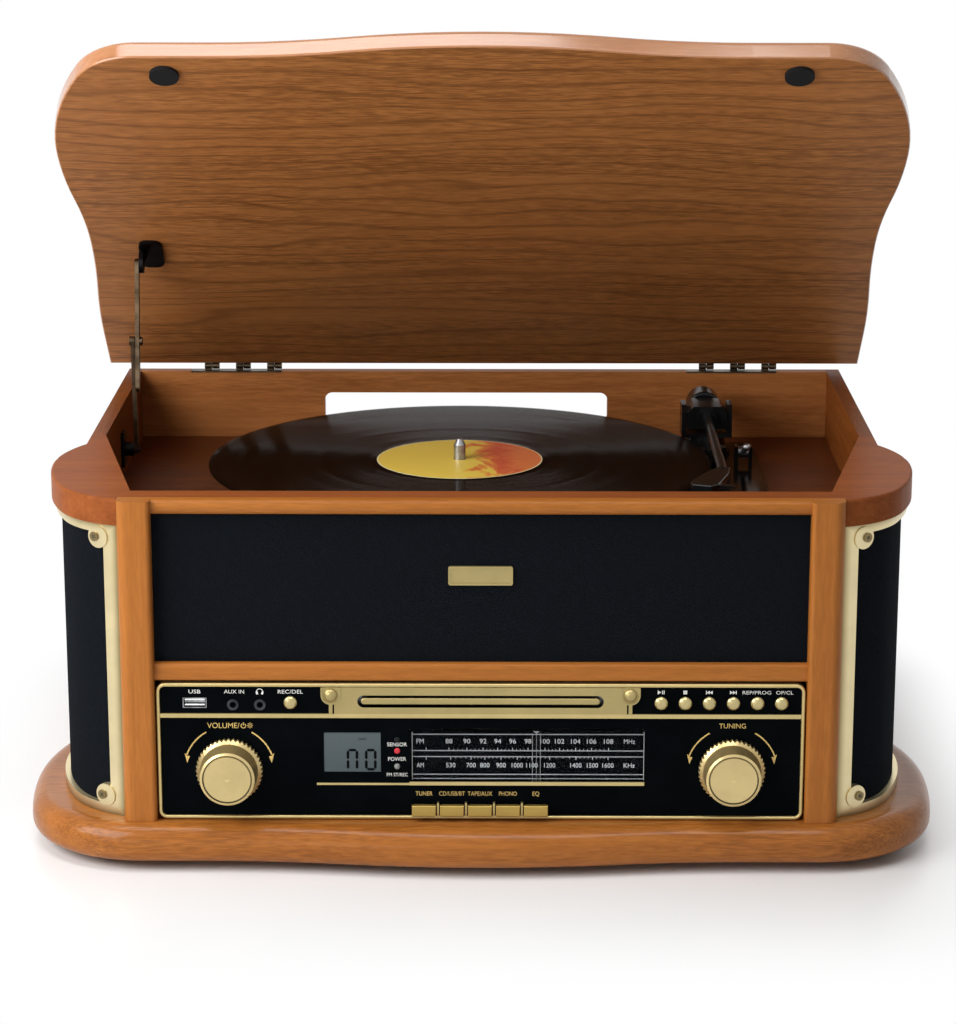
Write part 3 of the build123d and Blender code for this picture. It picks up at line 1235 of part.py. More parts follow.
def make_tonearm():
    """Turret that swings, the arm that lifts in its fork, the cue lever and the speed lever."""
    base = chassis_top + 2.0 + seat_gap
    wide, deep, tall = arm_block
    fork_low = arm_z - tall / 2 - fork_clearance
    turret = turned([(0, floor_top + 0.5), (5, floor_top + 0.5), (5, base), (turret_radius + 1.5, base),
                     (turret_radius + 1.5, base + 2), (turret_radius, base + 4),
                     (turret_radius - 1, fork_low), (0, fork_low)], 0, 0)
    inner = wide / 2 + 0.4
    turret += block(-inner - cheek, inner + cheek, -deep / 2 + 2, deep / 2 - 2, fork_low - 0.5,
                    fork_low + 2.2)
    for side in (-1, 1):
        x0, x1 = sorted((side * inner, side * (inner + cheek)))
        wing = block(x0, x1, -deep / 2 + 2, deep / 2 - 2, fork_low, arm_z + tall / 2)
        wing = chamfer(wing.edges().filter_by(Axis.X).sort_by(Axis.Z)[-2:], 4)
        turret += wing
    turret -= rod((-inner - cheek - 1, 0, arm_z), (1, 0, 0), trunnion_radius + running_fit,
                  2 * (inner + cheek + 1))
    save("tonearm_turret", Pos(arm_x, arm_y, 0) * turret)

    body = block(-wide / 2, wide / 2, -deep / 2, deep / 2, arm_z - tall / 2 + 0.4, arm_z + tall / 2)
    body = chamfer(body.edges().filter_by(Axis.Y).sort_by(Axis.Z)[-2:], 4)
    body += rod((-inner - cheek + 0.3, 0, arm_z), (1, 0, 0), trunnion_radius,
                2 * (inner + cheek - 0.3))
    body += rod((0, -deep / 2, arm_z), (0, -1, 0), tall / 2 - 1.2, 2.5)
    body += rod((0, deep / 2, arm_z), (0, 1, 0), 3.5, 6 + counterweight_length)
    weight = rod((0, deep / 2 + 4, arm_z), (0, 1, 0), counterweight_radius, counterweight_length)
    body += fillet(weight.edges().filter_by(GeomType.CIRCLE), 1.5)
    body += rod((0, -deep / 2, arm_z), (0, -1, 0), arm_tube_radius, arm_tube_length - deep / 2)
    half = headshell_width / 2
    shell = make_face(Polyline((-3.2, 4), (3.2, 4), (half - 2, -10), (half, -headshell_length + 6),
                               (half - 3, -headshell_length), (-half + 3, -headshell_length),
                               (-half, -headshell_length + 6), (-half + 2, -10), close=True))
    lift = make_face(Polyline((half - 1, -headshell_length + 14), (half + 9, -headshell_length + 10),
                              (half + 9, -headshell_length + 7), (half - 1, -headshell_length + 7),
                              close=True))
    head = plan_plate(shell, arm_z - 1.5, arm_z + 2.5)
    head = fillet(head.faces().sort_by(Axis.Z)[-1].edges(), 1.0)
    head += plan_plate(lift, arm_z, arm_z + 1.2)
    cartridge = block(-cartridge_width / 2, cartridge_width / 2, 4 - headshell_length,
                      4 - headshell_length + cartridge_length, record_top + 1.6, arm_z - 1.5)
    head += chamfer(cartridge.edges().filter_by(Axis.Y).sort_by(Axis.Z)[:2], 1.2)
    stylus_y = 6 - headshell_length
    head += Pos(0, stylus_y, record_top + 0.8) * Cone(0.3, 1.2, 1.6, align=MIN_Z)
    head = Pos(0, -arm_tube_length, 0) * Rot(0, 0, -headshell_angle) * head
    save("tonearm", Pos(arm_x, arm_y, 0) * (body + head))

    pivot_z = chassis_top + 8
    lever = rod((cue_x - 5.2, cue_y, pivot_z), (1, 0, 0), 1.5, 10.4)
    lever += rod((cue_x - 3.2, cue_y, pivot_z), (1, 0, 0), 3.5, 6.4)
    lever += rod((cue_x, cue_y, pivot_z), (0, -1, 0.35), 1.6, cue_length)
    tip = Vector(0, -1, 0.35).normalized() * cue_length + Vector(cue_x, cue_y, pivot_z)
    lever += Pos(tip.X, tip.Y, tip.Z) * Sphere(2.6)
    save("cue_lever", lever)
    stem = Pos(speed_x, speed_y) * SlotOverall(4.6, 3.1, rotation=90)
    grip = plan_plate(stem, floor_top + 0.5, chassis_top + 1.0)
    cap = plan_plate(Pos(speed_x, speed_y) * RectangleRounded(9, 12, 1.5), chassis_top + 0.3,
                     chassis_top + 6)
    grip += chamfer(cap.faces().sort_by(Axis.Z)[-1].edges(), 1.0)
    grip += plan_plate(Pos(speed_x, speed_y) * Rectangle(6.5, 10), floor_top - 2.5,
                       floor_top - 0.3)
    grip += plan_plate(stem, floor_top - 1, floor_top + 1)
    save("speed_lever", grip)


# ================================================================== lid and stay
def opened(piece):
    """A piece modelled on the closed lid, swung to the open lid."""
    return piece.rotate(lid_axis, lid_open_angle)


def lid_plan():
    """Plan of the closed lid: waisted sides, round lobes and a bowed front."""
    rear_y = hinge_y - lid_rear_gap
    side_x = lid_lobe_half_width - lid_side_radius
    corner_y = lid_front_y + lid_corner_radius
    reach = lid_side_radius - lid_corner_radius
    corner_x = side_x + sqrt(reach ** 2 - (lid_lobe_y - corner_y) ** 2)
    turn = degrees(asin((lid_lobe_y - corner_y) / reach))
    rear_edge = Line((0, rear_y), (lid_rear_half_width, rear_y))
    rear_side = Line((lid_rear_half_width, rear_y), (lid_rear_half_width, lid_shoulder_y))
    to_waist = s_curve((lid_rear_half_width, lid_shoulder_y), (lid_waist_half_width, lid_waist_y),
                       (0, -1))
    to_lobe = s_curve((lid_waist_half_width, lid_waist_y), (lid_lobe_half_width, lid_lobe_y), (0, -1))
    side = CenterArc((side_x, lid_lobe_y), lid_side_radius, -turn, turn)
    corner = CenterArc((corner_x, corner_y), lid_corner_radius, -90, 90 - turn)
    flat = Line((corner_x, lid_front_y), (bow_half_span, lid_front_y))
    bow = s_curve((bow_half_span, lid_front_y), (0, lid_front_y - lid_bow_depth), (-1, 0))
    spine = Line((0, lid_front_y - lid_bow_depth), (0, rear_y))
    half = make_face(rear_edge + rear_side + to_waist + to_lobe + side + corner + flat + bow + spine)
    return half + mirror(half, about=Plane.YZ)


def make_lid():
    """Lid board, its pads and the hinges."""
    under = hinge_z
    lid = plan_plate(lid_plan(), under, under + lid_thickness)
    lid = fillet(lid.faces().sort_by(Axis.Z)[-1].edges(), lid_top_round)
    lid = fillet(lid.faces().sort_by(Axis.Z)[0].edges(), lid_bottom_round)
    save("lid_board", opened(lid))
    pads = [rod((side * pad_x, pad_y, under), (0, 0, -1), pad_radius, hinge_above_rim - seat_gap)
            for side in (-1, 1)]
    save("lid_pads", *[opened(pad) for pad in pads])

    pitch = (hinge_length - hinge_set_start - hinge_set_width) / (hinge_sets - 1)
    knuckle = (hinge_set_width - hinge_set_gap) / 2
    rear_y = hinge_y - lid_rear_gap
    fixed, moving = [], []
    for centre in hinge_spots():
        left = centre - hinge_length / 2
        lower = block(left + 0.1, left + hinge_length - 0.1, hinge_y - 5, back_face_y,
                      rim - leaf_thickness, rim)
        upper = block(left, left + hinge_length, rear_y, rear_y + leaf_thickness, under + lid_bottom_round,
                      under + lid_bottom_round + leaf_width)
        for index in range(hinge_sets):
            x0 = left + hinge_set_start + index * pitch
            x1 = x0 + knuckle + hinge_set_gap
            lower += rod((x0, hinge_y, hinge_z), (1, 0, 0), hinge_barrel_radius, knuckle)
            lower += block(x0, x0 + knuckle, hinge_y - 0.5, hinge_y + 0.5, rim - leaf_thickness, hinge_z)
            lower += rod((x0, hinge_y, hinge_z), (1, 0, 0), hinge_pin_radius, hinge_set_width)
            barrel = rod((x1, hinge_y, hinge_z), (1, 0, 0), hinge_barrel_radius, knuckle)
            arm = block(x1, x1 + knuckle, rear_y, hinge_y, hinge_z, under + lid_bottom_round + 1)
            bore = rod((x1 - 1, hinge_y, hinge_z), (1, 0, 0), hinge_pin_radius + running_fit, knuckle + 2)
            upper += (barrel + arm) - bore
        fixed.append(lower)
        moving.append(opened(upper))
    save("cabinet_hinge_leaves", *fixed)
    save("lid_hinge_leaves", *moving)


def stay_points():
    """Elbow geometry of the stay: wall pivot, lid pivot and elbow with the lid open and shut."""
    wall = (stay_lower_y, floor_top + stay_lower_above_floor)

    def lid_pivot(angle):
        a = radians(angle)
        return (hinge_y - stay_lid_reach * cos(a) - stay_lid_drop * sin(a),
                hinge_z + stay_lid_reach * sin(a) - stay_lid_drop * cos(a))

    open_pivot = lid_pivot(lid_open_angle)
    drawn = hypot(open_pivot[0] - wall[0], open_pivot[1] - wall[1])
    upper = (drawn + stay_slack) * stay_upper_share
    lower = drawn + stay_slack - upper

    def elbow(pivot):
        dy, dz = pivot[0] - wall[0], pivot[1] - wall[1]
        span = hypot(dy, dz)
        lean = acos((lower ** 2 + span ** 2 - upper ** 2) / (2 * lower * span))
        heading = atan2(dz, dy) + lean
        return wall[0] + lower * cos(heading), wall[1] + lower * sin(heading)

    shut_pivot = lid_pivot(0.0)
    return wall, open_pivot, elbow(open_pivot), shut_pivot, elbow(shut_pivot)


def heading(start, end):
    """Direction from one side-view point to another, in degrees from +Y towards +Z."""
    return degrees(atan2(end[1] - start[1], end[0] - start[0]))


def stay_bar_between(start, end, tail, x0, x1):
    """Flat bar with round ends from start to end and past it by a tail, in side view."""
    reach = hypot(end[0] - start[0], end[1] - start[1]) + tail
    angle = heading(start, end)
    a = radians(angle)
    middle = (start[0] + cos(a) * reach / 2, start[1] + sin(a) * reach / 2)
    shape = Pos(*middle) * Rot(0, 0, angle) * SlotOverall(reach + stay_bar, stay_bar)
    return side_plate(shape, x0, x1)


def make_stay():
    """Folding lid stay: wall bracket, lower link, upper link with its tail, lid bracket."""
    wall, pivot, elbow, shut_pivot, shut_elbow = stay_points()
    lower_x = (stay_x - stay_link_gap / 2 - stay_thickness, stay_x - stay_link_gap / 2)
    upper_x = (stay_x + stay_link_gap / 2, stay_x + stay_link_gap / 2 + stay_thickness)
    hole = stay_pin_radius + running_fit

    wall_face = -wall_inner_x
    foot = side_plate(Pos(*wall) * RectangleRounded(*stay_foot, 3), wall_face, wall_face + 2)
    foot += rod((wall_face + 1, *wall), (1, 0, 0), 4.5, lower_x[0] - seat_gap - wall_face - 1)
    foot += rod((wall_face + 1, *wall), (1, 0, 0), stay_pin_radius, lower_x[1] + 0.9 - wall_face - 1)
    save("stay_wall_bracket", foot)

    lower = stay_bar_between(wall, elbow, 0, *lower_x)
    lower -= rod((lower_x[0] - 1, *wall), (1, 0, 0), hole, stay_thickness + 2)
    lower += rod((lower_x[0] - 0.8, *elbow), (1, 0, 0), 3.0, 1.0)
    save("stay_lower_link", lower)

    upper = stay_bar_between(pivot, elbow, stay_tail, *upper_x)
    upper -= rod((upper_x[0] - 1, *pivot), (1, 0, 0), hole, stay_thickness + 2)
    upper += rod((upper_x[1] - 0.5, *elbow), (1, 0, 0), 2.6, 2.3)
    save("stay_upper_link", upper)

    ear_x = upper_x[1] + seat_gap
    under = hinge_z
    foot_y = hinge_y - stay_lid_reach
    plate = plan_plate(rounded(ear_x, ear_x + 14, foot_y - 14, foot_y + 14, 5), under - 2.4, under)
    ear = side_plate(rect(foot_y - 6, foot_y + 6, under - stay_lid_drop, under)
                     + Pos(foot_y, under - stay_lid_drop) * Circle(6), ear_x, ear_x + 2.6)
    pin = rod((ear_x + 1, foot_y, under - stay_lid_drop), (-1, 0, 0), stay_pin_radius,
              ear_x + 1 - upper_x[0] + 0.2)
    save("stay_lid_bracket", opened(plate + ear + pin))

    lower_turn = heading(wall, shut_elbow) - heading(wall, elbow)
    upper_turn = heading(shut_pivot, shut_elbow) % 360 - heading(pivot, elbow) % 360
    print("stay: wall pivot", wall, "lid pivot", pivot, "elbow", elbow)
    print("stay: lower link turns", lower_turn, "upper link turns", upper_turn, "as the lid shuts")


# ================================================================== back
def make_rear_sockets():
    """Socket plate with two line sockets, and the mains gland."""
    w, h = socket_plate_size
    y0, y1 = back_face_y, back_face_y + socket_plate_thickness
    plate = front_plate(Pos(socket_plate_x, socket_plate_z) * RectangleRounded(w, h, h / 12), y1, y0)
    for side in (-1, 1):
        spot = (socket_plate_x + side * w / 5, y1 - 0.5, socket_plate_z)
        plate += rod(spot, (0, 1, 0), line_socket_radius, line_socket_length)
        plate -= rod(spot, (0, 1, 0), line_socket_bore_radius, line_socket_length + 1)
    gx, gz = gland_spot()
    gland = rod((gx, y0 - 5, gz), (0, 1, 0), gland_radius - 2.6, 5.5)
    gland += rod((gx, y0, gz), (0, 1, 0), gland_radius, 2.0)
    gland = gland - front_plate(Pos(gx, gz) * SlotOverall(5.4, 3.4), y0 + 3, y0 - 6)
    save("rear_socket_plate", plate, gland)


os.makedirs("parts", exist_ok=True)
make_plinth()
make_side_panels()
make_back_panel()
make_deck()
make_front_frame()
make_grilles()
make_drivers()
make_panel_frame()
make_fascia()
make_surround()
make_sockets()
make_buttons()
make_keys()
make_knob("volume_knob", -knob_x)
make_knob("tuning_knob", knob_x)
make_pointer()
make_display()
make_circuit_boards()
make_transformer()
make_cd_unit()
make_cassette()
make_well_floor()
make_chassis()
make_platter()
make_drive()
make_tonearm()
make_lid()
make_stay()
make_rear_sockets()
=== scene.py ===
# %% [markdown]
# # Dressing a wooden music centre
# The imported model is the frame: every solid is already in its place, in metres. This lesson gives
# each solid a procedural material and adds what is too fine for the solids: printed legends, the
# dial scale, display digits, the record's label and screw slots.
# The first lines import the frame. Nothing in it is moved or reshaped afterwards.

# %% Load the frame
from math import atan2, cos, pi, radians, sin, sqrt

import bmesh
import bpy
from mathutils import Matrix, Vector


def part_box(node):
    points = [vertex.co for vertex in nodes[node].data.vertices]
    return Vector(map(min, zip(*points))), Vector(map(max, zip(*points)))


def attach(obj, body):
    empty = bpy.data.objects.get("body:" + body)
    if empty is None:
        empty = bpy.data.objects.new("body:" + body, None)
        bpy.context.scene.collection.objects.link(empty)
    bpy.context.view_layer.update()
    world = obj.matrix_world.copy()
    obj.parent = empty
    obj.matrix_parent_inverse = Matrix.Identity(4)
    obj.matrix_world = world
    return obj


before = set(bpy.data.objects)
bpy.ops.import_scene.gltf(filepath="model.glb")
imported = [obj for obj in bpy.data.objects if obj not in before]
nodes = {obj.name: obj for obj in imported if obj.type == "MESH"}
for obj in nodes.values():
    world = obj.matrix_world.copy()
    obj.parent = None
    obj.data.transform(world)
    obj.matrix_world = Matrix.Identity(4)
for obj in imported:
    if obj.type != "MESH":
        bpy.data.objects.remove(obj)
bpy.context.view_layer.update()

MM = 0.001

# %% [markdown]
# ## Shared measures
# Some planes and centres are needed again and again. They could be typed in, but then they would
# go wrong when the model changes, so they are read from the boxes of the solids.

# %% Measures
key_nodes = ["tuner_key", "disc_key", "tape_key", "phono_key", "eq_key"]
button_nodes = ["play_button", "stop_button", "previous_button", "next_button", "repeat_button",
                "open_button"]


def middle(node, axis=0):
    """The middle of a node's box along an axis, which is X unless another is given."""
    low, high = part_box(node)
    return (low[axis] + high[axis]) / 2


fascia_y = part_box("fascia")[0][1]
volume_x, tuning_x = middle("volume_knob"), middle("tuning_knob")
knob_z = middle("volume_knob", 2)
spindle = Vector((middle("record"), middle("record", 1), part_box("record")[1][2]))
print("fascia plane", round(fascia_y, 4), "spindle", [round(c, 4) for c in spindle])

# %% [markdown]
# ## Material helpers
# Colours are written as the eye sees them, 0 to 255, and turned into linear light. A material
# could be wired up by hand each time; a small class says the same in fewer lines. `link` joins two
# sockets, `ramp` makes a colour ramp, `paint` and `roughen` feed the Principled shader. Constant
# values are always set on the shader's own sockets.

# %% Colours
def rgb(red, green, blue):
    """A linear colour from one written 0 to 255."""
    def linear(value):
        value /= 255
        return value / 12.92 if value <= 0.04045 else ((value + 0.055) / 1.055) ** 2.4
    return (linear(red), linear(green), linear(blue), 1.0)


def darkened(colour, share):
    """A colour with a share of its light."""
    return tuple(c * share for c in colour[:3]) + (1.0,)


WHITE = (1.0, 1.0, 1.0, 1.0)
print("white paper is", [round(c, 3) for c in rgb(238, 238, 238)[:3]], "in linear light")

# %% Shader class
class Shader:
    """A material with its Principled shader and a few helpers for building its nodes."""

    def __init__(self, name, colour, roughness, metallic=0.0, **sockets):
        self.material = bpy.data.materials.new(name)
        self.material.use_nodes = True
        self.tree = self.material.node_tree
        self.surface = self.tree.nodes["Principled BSDF"]
        sockets.update({"Base Color": colour, "Roughness": roughness, "Metallic": metallic})
        for socket, value in sockets.items():
            self.surface.inputs[socket].default_value = value
        self.material.diffuse_color = colour
        self.place = self.add("ShaderNodeTexCoord").outputs["Object"]

    def add(self, kind, **values):
        node = self.tree.nodes.new(kind)
        for name, value in values.items():
            setattr(node, name, value)
        return node

    def link(self, source, target):
        self.tree.links.new(source, target)

    def feed(self, values, inputs):
        """Link each value that is a socket to its input, and set the others as constants."""
        for value, socket in zip(values, inputs):
            if isinstance(value, bpy.types.NodeSocket):
                self.link(value, socket)
            else:
                socket.default_value = value

    def paint(self, colour):
        self.link(colour, self.surface.inputs["Base Color"])

    def roughen(self, value):
        self.link(value, self.surface.inputs["Roughness"])

    def mapping(self, scale=(1, 1, 1), location=(0, 0, 0)):
        node = self.add("ShaderNodeMapping")
        node.inputs["Location"].default_value = location
        node.inputs["Scale"].default_value = scale
        self.link(self.place, node.inputs["Vector"])
        return node.outputs["Vector"]

    def noise(self, vector, scale, detail=3.0, rough=0.5, distortion=0.0):
        node = self.add("ShaderNodeTexNoise")
        node.inputs["Scale"].default_value = scale
        node.inputs["Detail"].default_value = detail
        node.inputs["Roughness"].default_value = rough
        node.inputs["Distortion"].default_value = distortion
        self.link(vector, node.inputs["Vector"])
        return node.outputs["Fac"]

    def ramp(self, value, *stops):
        node = self.add("ShaderNodeValToRGB")
        points = node.color_ramp.elements
        while len(points) < len(stops):
            points.new(0.5)
        for point, (position, colour) in zip(points, stops):
            point.position = position
            point.color = colour
        self.link(value, node.inputs["Fac"])
        return node.outputs["Color"]

    def mix(self, factor, first, second):
        node = self.add("ShaderNodeMix", data_type="RGBA")
        self.feed((factor, first, second), (node.inputs[0], node.inputs[6], node.inputs[7]))
        return node.outputs[2]

    def math(self, operation, first, second=0.0, third=0.0):
        node = self.add("ShaderNodeMath", operation=operation)
        self.feed((first, second, third), node.inputs)
        return node.outputs[0]

    def clamp(self, value):
        """A value held between 0 and 1."""
        return self.math("MAXIMUM", self.math("MINIMUM", value, 1.0), 0.0)

    def wave(self, value, length):
        """A sine that repeats after a length."""
        return self.math("SINE", self.math("MULTIPLY", value, 2 * pi / length))

    def radius(self, first, second, centre=(0.0, 0.0)):
        """Distance from a centre in the plane of two axes."""
        across = self.math("POWER", self.math("SUBTRACT", first, centre[0]), 2.0)
        upward = self.math("POWER", self.math("SUBTRACT", second, centre[1]), 2.0)
        return self.math("SQRT", self.math("ADD", across, upward))

    def span(self, value, low, high):
        """A 0 to 1 value spread between two others."""
        node = self.add("ShaderNodeMapRange")
        node.inputs["To Min"].default_value = low
        node.inputs["To Max"].default_value = high
        self.link(value, node.inputs["Value"])
        return node.outputs["Result"]

    def axes(self):
        node = self.add("ShaderNodeSeparateXYZ")
        self.link(self.place, node.inputs[0])
        return node.outputs

    def bump(self, height, distance, strength):
        node = self.add("ShaderNodeBump")
        node.inputs["Distance"].default_value = distance
        node.inputs["Strength"].default_value = strength
        self.link(height, node.inputs["Height"])
        self.link(node.outputs["Normal"], self.surface.inputs["Normal"])


print("shader helpers ready")

# %% Dressing helpers
def dress(shader, *names):
    """Give one material to several nodes, in place of their plain one."""
    for name in names:
        mesh = nodes[name].data
        mesh.materials.clear()
        mesh.materials.append(shader.material)
    print(shader.material.name, "on", ", ".join(names))


def second_finish(node, shader, chosen):
    """Give a second material to the faces of a node that a test picks out."""
    mesh = nodes[node].data
    mesh.materials.append(shader.material)
    for face in mesh.polygons:
        face.material_index = 1 if chosen(face) else 0
    count = sum(face.material_index for face in mesh.polygons)
    print(shader.material.name, "on", count, "faces of", node)


# %% [markdown]
# ## Wood
# The cabinet is veneered board with a satin varnish. A picture of wood would need unwrapping and
# would show where it repeats, so noise draws it instead. Noise stretched along the grain gives the
# long streaks, a second one the short dark pores, and a broad one shifts the tone from place to
# place. The lid is sawn flat, so the rings of the tree show on it as long flames.

# %% Pores and rings
ring_spacing = 0.0085
ring_bend = 52.0


def pore_mask(shader, grain, along, offset, strength):
    """Short dark dashes along the grain, gathered in patches."""
    short = [1.0, 1.0, 1.0]
    short[grain] = 0.10
    specks = shader.noise(shader.mapping(tuple(short), (0.7, offset, 0.1)), 900, 2.0, 0.5)
    patches = shader.noise(shader.mapping(tuple(along), (0.2, 0.9, offset)), 55, 3.0, 0.6)
    mask = shader.math("MULTIPLY", shader.span(specks, -1.35, 2.6), shader.span(patches, -0.5, 1.9))
    return shader.math("MULTIPLY", shader.clamp(mask), strength)


def growth_rings(shader, offset):
    """Thin dark rings up the board, bent by a slow noise."""
    place = shader.mapping((0.26, 1.0, 1.0), (offset, offset, offset))
    bend = shader.noise(place, 10.0, 2.5, 0.5, 0.3)
    phase = shader.math("ADD", shader.math("MULTIPLY", shader.axes()[2], 2 * pi / ring_spacing),
                        shader.math("MULTIPLY", bend, ring_bend))
    wave = shader.math("MULTIPLY_ADD", shader.math("SINE", phase), 0.5, 0.5)
    return shader.math("POWER", wave, 9.0)


print("a ring every", ring_spacing * 1000, "mm")

# %% Wood
def wood(name, dark, mid, light, grain, pores=0.5, streak=1.0, rough=(0.34, 0.44), coat=0.05,
         level=0.14, offset=0.0, figure=0.0):
    """Varnished wood with its grain along one axis (0, 1 or 2)."""
    shader = Shader(name, mid, 0.36, **{"Coat Weight": coat, "Coat Roughness": 0.10,
                                        "Specular IOR Level": level})
    along = [1.0, 1.0, 1.0]
    along[grain] = 0.055
    finer = tuple(0.5 * a if a < 1 else a for a in along)
    warp = shader.noise(shader.mapping((6, 6, 6), (offset, 0.3, offset * 2)), 1.0, 2.0)
    broad = shader.mapping(tuple(along), (offset, offset, offset))
    streaks = shader.noise(broad, 150 * streak, 6.0, 0.62, 0.5)
    fine = shader.noise(shader.mapping(finer), 620, 3.0, 0.6)
    tone = shader.math("ADD", shader.math("MULTIPLY", streaks, 0.62),
                       shader.math("MULTIPLY", fine, 0.2))
    tone = shader.math("ADD", tone, shader.math("MULTIPLY", warp, 0.22))
    base = shader.ramp(tone, (0.36, dark), (0.50, mid), (0.66, light))
    if figure:
        rings = shader.math("MULTIPLY", growth_rings(shader, offset), figure)
        base = shader.mix(rings, base, darkened(dark, 0.42))
    mask = pore_mask(shader, grain, along, offset, pores)
    shader.paint(shader.mix(mask, base, darkened(dark, 0.30)))
    shader.roughen(shader.span(streaks, *rough))
    shader.bump(shader.math("SUBTRACT", fine, shader.math("MULTIPLY", mask, 1.5)), 0.00012, 0.35)
    return shader


honey = (rgb(161, 96, 38), rgb(168, 102, 42), rgb(175, 108, 47))
case_x = wood("case_wood_x", *honey, 0, pores=0.22)
column_wood = wood("column_wood", *honey, 2, pores=0.18, offset=0.8)
dress(case_x, "front_frame")

# %% Case woods
deck_wood = wood("deck_wood", rgb(128, 68, 34), rgb(140, 77, 40), rgb(150, 86, 46), 0, pores=0.2,
                 coat=0.0, level=0.02, offset=0.7)
plinth_wood = wood("plinth_wood", rgb(146, 84, 32), rgb(162, 97, 39), rgb(172, 106, 46), 0,
                   pores=0.45, rough=(0.26, 0.34), coat=0.22, level=0.10, offset=0.3)
case_y = wood("case_wood_y", rgb(112, 58, 24), rgb(132, 72, 30), rgb(146, 84, 38), 1, pores=0.3,
              coat=0.0, level=0.03, offset=0.4)
dress(deck_wood, "top_deck")
dress(plinth_wood, "base_plinth")
dress(case_y, "side_panels")

# %% Board woods
lid_wood = wood("lid_wood", rgb(156, 96, 48), rgb(172, 110, 58), rgb(182, 120, 67), 0, pores=0.55,
                streak=3.4, rough=(0.48, 0.58), coat=0.0, level=0.2, offset=0.2, figure=0.50)
floor_wood = wood("floor_wood", rgb(84, 42, 20), rgb(104, 54, 28), rgb(120, 66, 34), 0, pores=0.5,
                  offset=0.6)
back_wood = wood("back_wood", rgb(144, 86, 46), rgb(162, 101, 54), rgb(175, 112, 63), 0, pores=0.3,
                 coat=0.0, level=0.03, offset=0.9)
dress(lid_wood, "lid_board")
dress(floor_wood, "turntable_board")
dress(back_wood, "back_panel")

# %% [markdown]
# The front frame holds upright columns and level rails in one node. Cutting the mesh in two would
# part a solid that belongs together, so the faces far out take a second material instead, with its
# grain upright.

# %% Columns
column_width = 0.019
rail_end = max(abs(v.co.x) for v in nodes["front_frame"].data.vertices) - column_width
second_finish("front_frame", column_wood, lambda face: abs(face.center.x) > rail_end)

# %% [markdown]
# The lid is one board with a veneered face inside and a thick rounded edge all round. The edge is
# sanded and lacquered far smoother than the face, so at a low angle it shines almost white. Its
# faces are those that don't lie along either flat side.

# %% Lid edge
edge_wood = wood("lid_edge_wood", rgb(160, 100, 58), rgb(172, 112, 66), rgb(182, 124, 78), 0,
                 pores=0.1, rough=(0.14, 0.20), coat=0.7, level=0.5, offset=0.5)
flat_way = max(nodes["lid_board"].data.polygons, key=lambda face: face.area).normal.copy()
lies_flat = 0.93
second_finish("lid_board", edge_wood, lambda face: abs(face.normal.dot(flat_way)) < lies_flat)

# %% [markdown]
# ## Metals
# The gold trim is moulded plastic with a lacquered champagne plating. One even colour would look
# like card, so its roughness and tone wander a little, as on plated parts. The knobs are turned on
# a lathe: fine rings about their axis catch the light in a fan. The grille frames have painted
# shade towards the column and the plinth, where their edge rolls back out of the light.

# %% Gold
def gold(name, colour, roughness, grit=0.0):
    """Lacquered gold. The shader keeps its tone, so that painted shade can be laid over it."""
    shader = Shader(name, colour, roughness, 0.82)
    cloud = shader.noise(shader.mapping(), 45, 4.0, 0.6)
    shader.roughen(shader.span(cloud, roughness - 0.07, roughness + 0.10))
    shader.tone = shader.ramp(cloud, (0.30, darkened(colour, 0.88)), (0.62, colour))
    shader.paint(shader.tone)
    if grit:
        shader.bump(shader.noise(shader.mapping(), 1800, 2.0), 0.00008, grit)
    return shader


dress(gold("frame_gold", rgb(200, 180, 124), 0.30, 0.15), "panel_frame")
dress(gold("plate_gold", rgb(174, 157, 106), 0.40, 0.25), "cd_surround", "badge_plate", "cd_tray")
dress(gold("button_gold", rgb(190, 174, 124), 0.28, 0.1), "rec_button", *button_nodes)
dress(gold("key_gold", rgb(178, 152, 82), 0.40, 0.2), *key_nodes)
# Painted shade in part: screw_metal is darker than the other golds, partly the screws' own tone and
# partly the shade of the recesses they sit in.
dress(gold("screw_metal", rgb(132, 116, 80), 0.32), "cabinet_screws", "motor_pulley")

# %% Turned knobs
ring_pitch = 0.00055
smooth_centre, rings_full = 0.0025, 0.0075
groove_shade_radius, groove_shade_half_width = 0.0134, 0.00042


def turned_gold(name, colour, centre):
    """Gold with lathe rings about an axis along Y, and a line of painted shade in the groove round
    the face.
    """
    shader = gold(name, colour, 0.32)
    x, _, z = shader.axes()
    radius = shader.radius(x, z, centre)
    # Painted shade: a thin dark ring in the groove where the knob's face meets its rim.
    off_line = shader.math("ABSOLUTE", shader.math("SUBTRACT", radius, groove_shade_radius))
    groove_shade = shader.math("LESS_THAN", off_line, groove_shade_half_width)
    shader.paint(shader.mix(groove_shade, shader.tone, darkened(colour, 0.22)))
    outside = shader.math("SUBTRACT", radius, smooth_centre)
    spread = shader.clamp(shader.math("MULTIPLY", outside, 1 / (rings_full - smooth_centre)))
    shader.bump(shader.math("MULTIPLY", shader.wave(radius, ring_pitch), spread), 0.00003, 0.30)
    return shader


dress(turned_gold("volume_gold", rgb(206, 184, 130), (volume_x, knob_z)), "volume_knob")
dress(turned_gold("tuning_gold", rgb(206, 184, 130), (tuning_x, knob_z)), "tuning_knob")

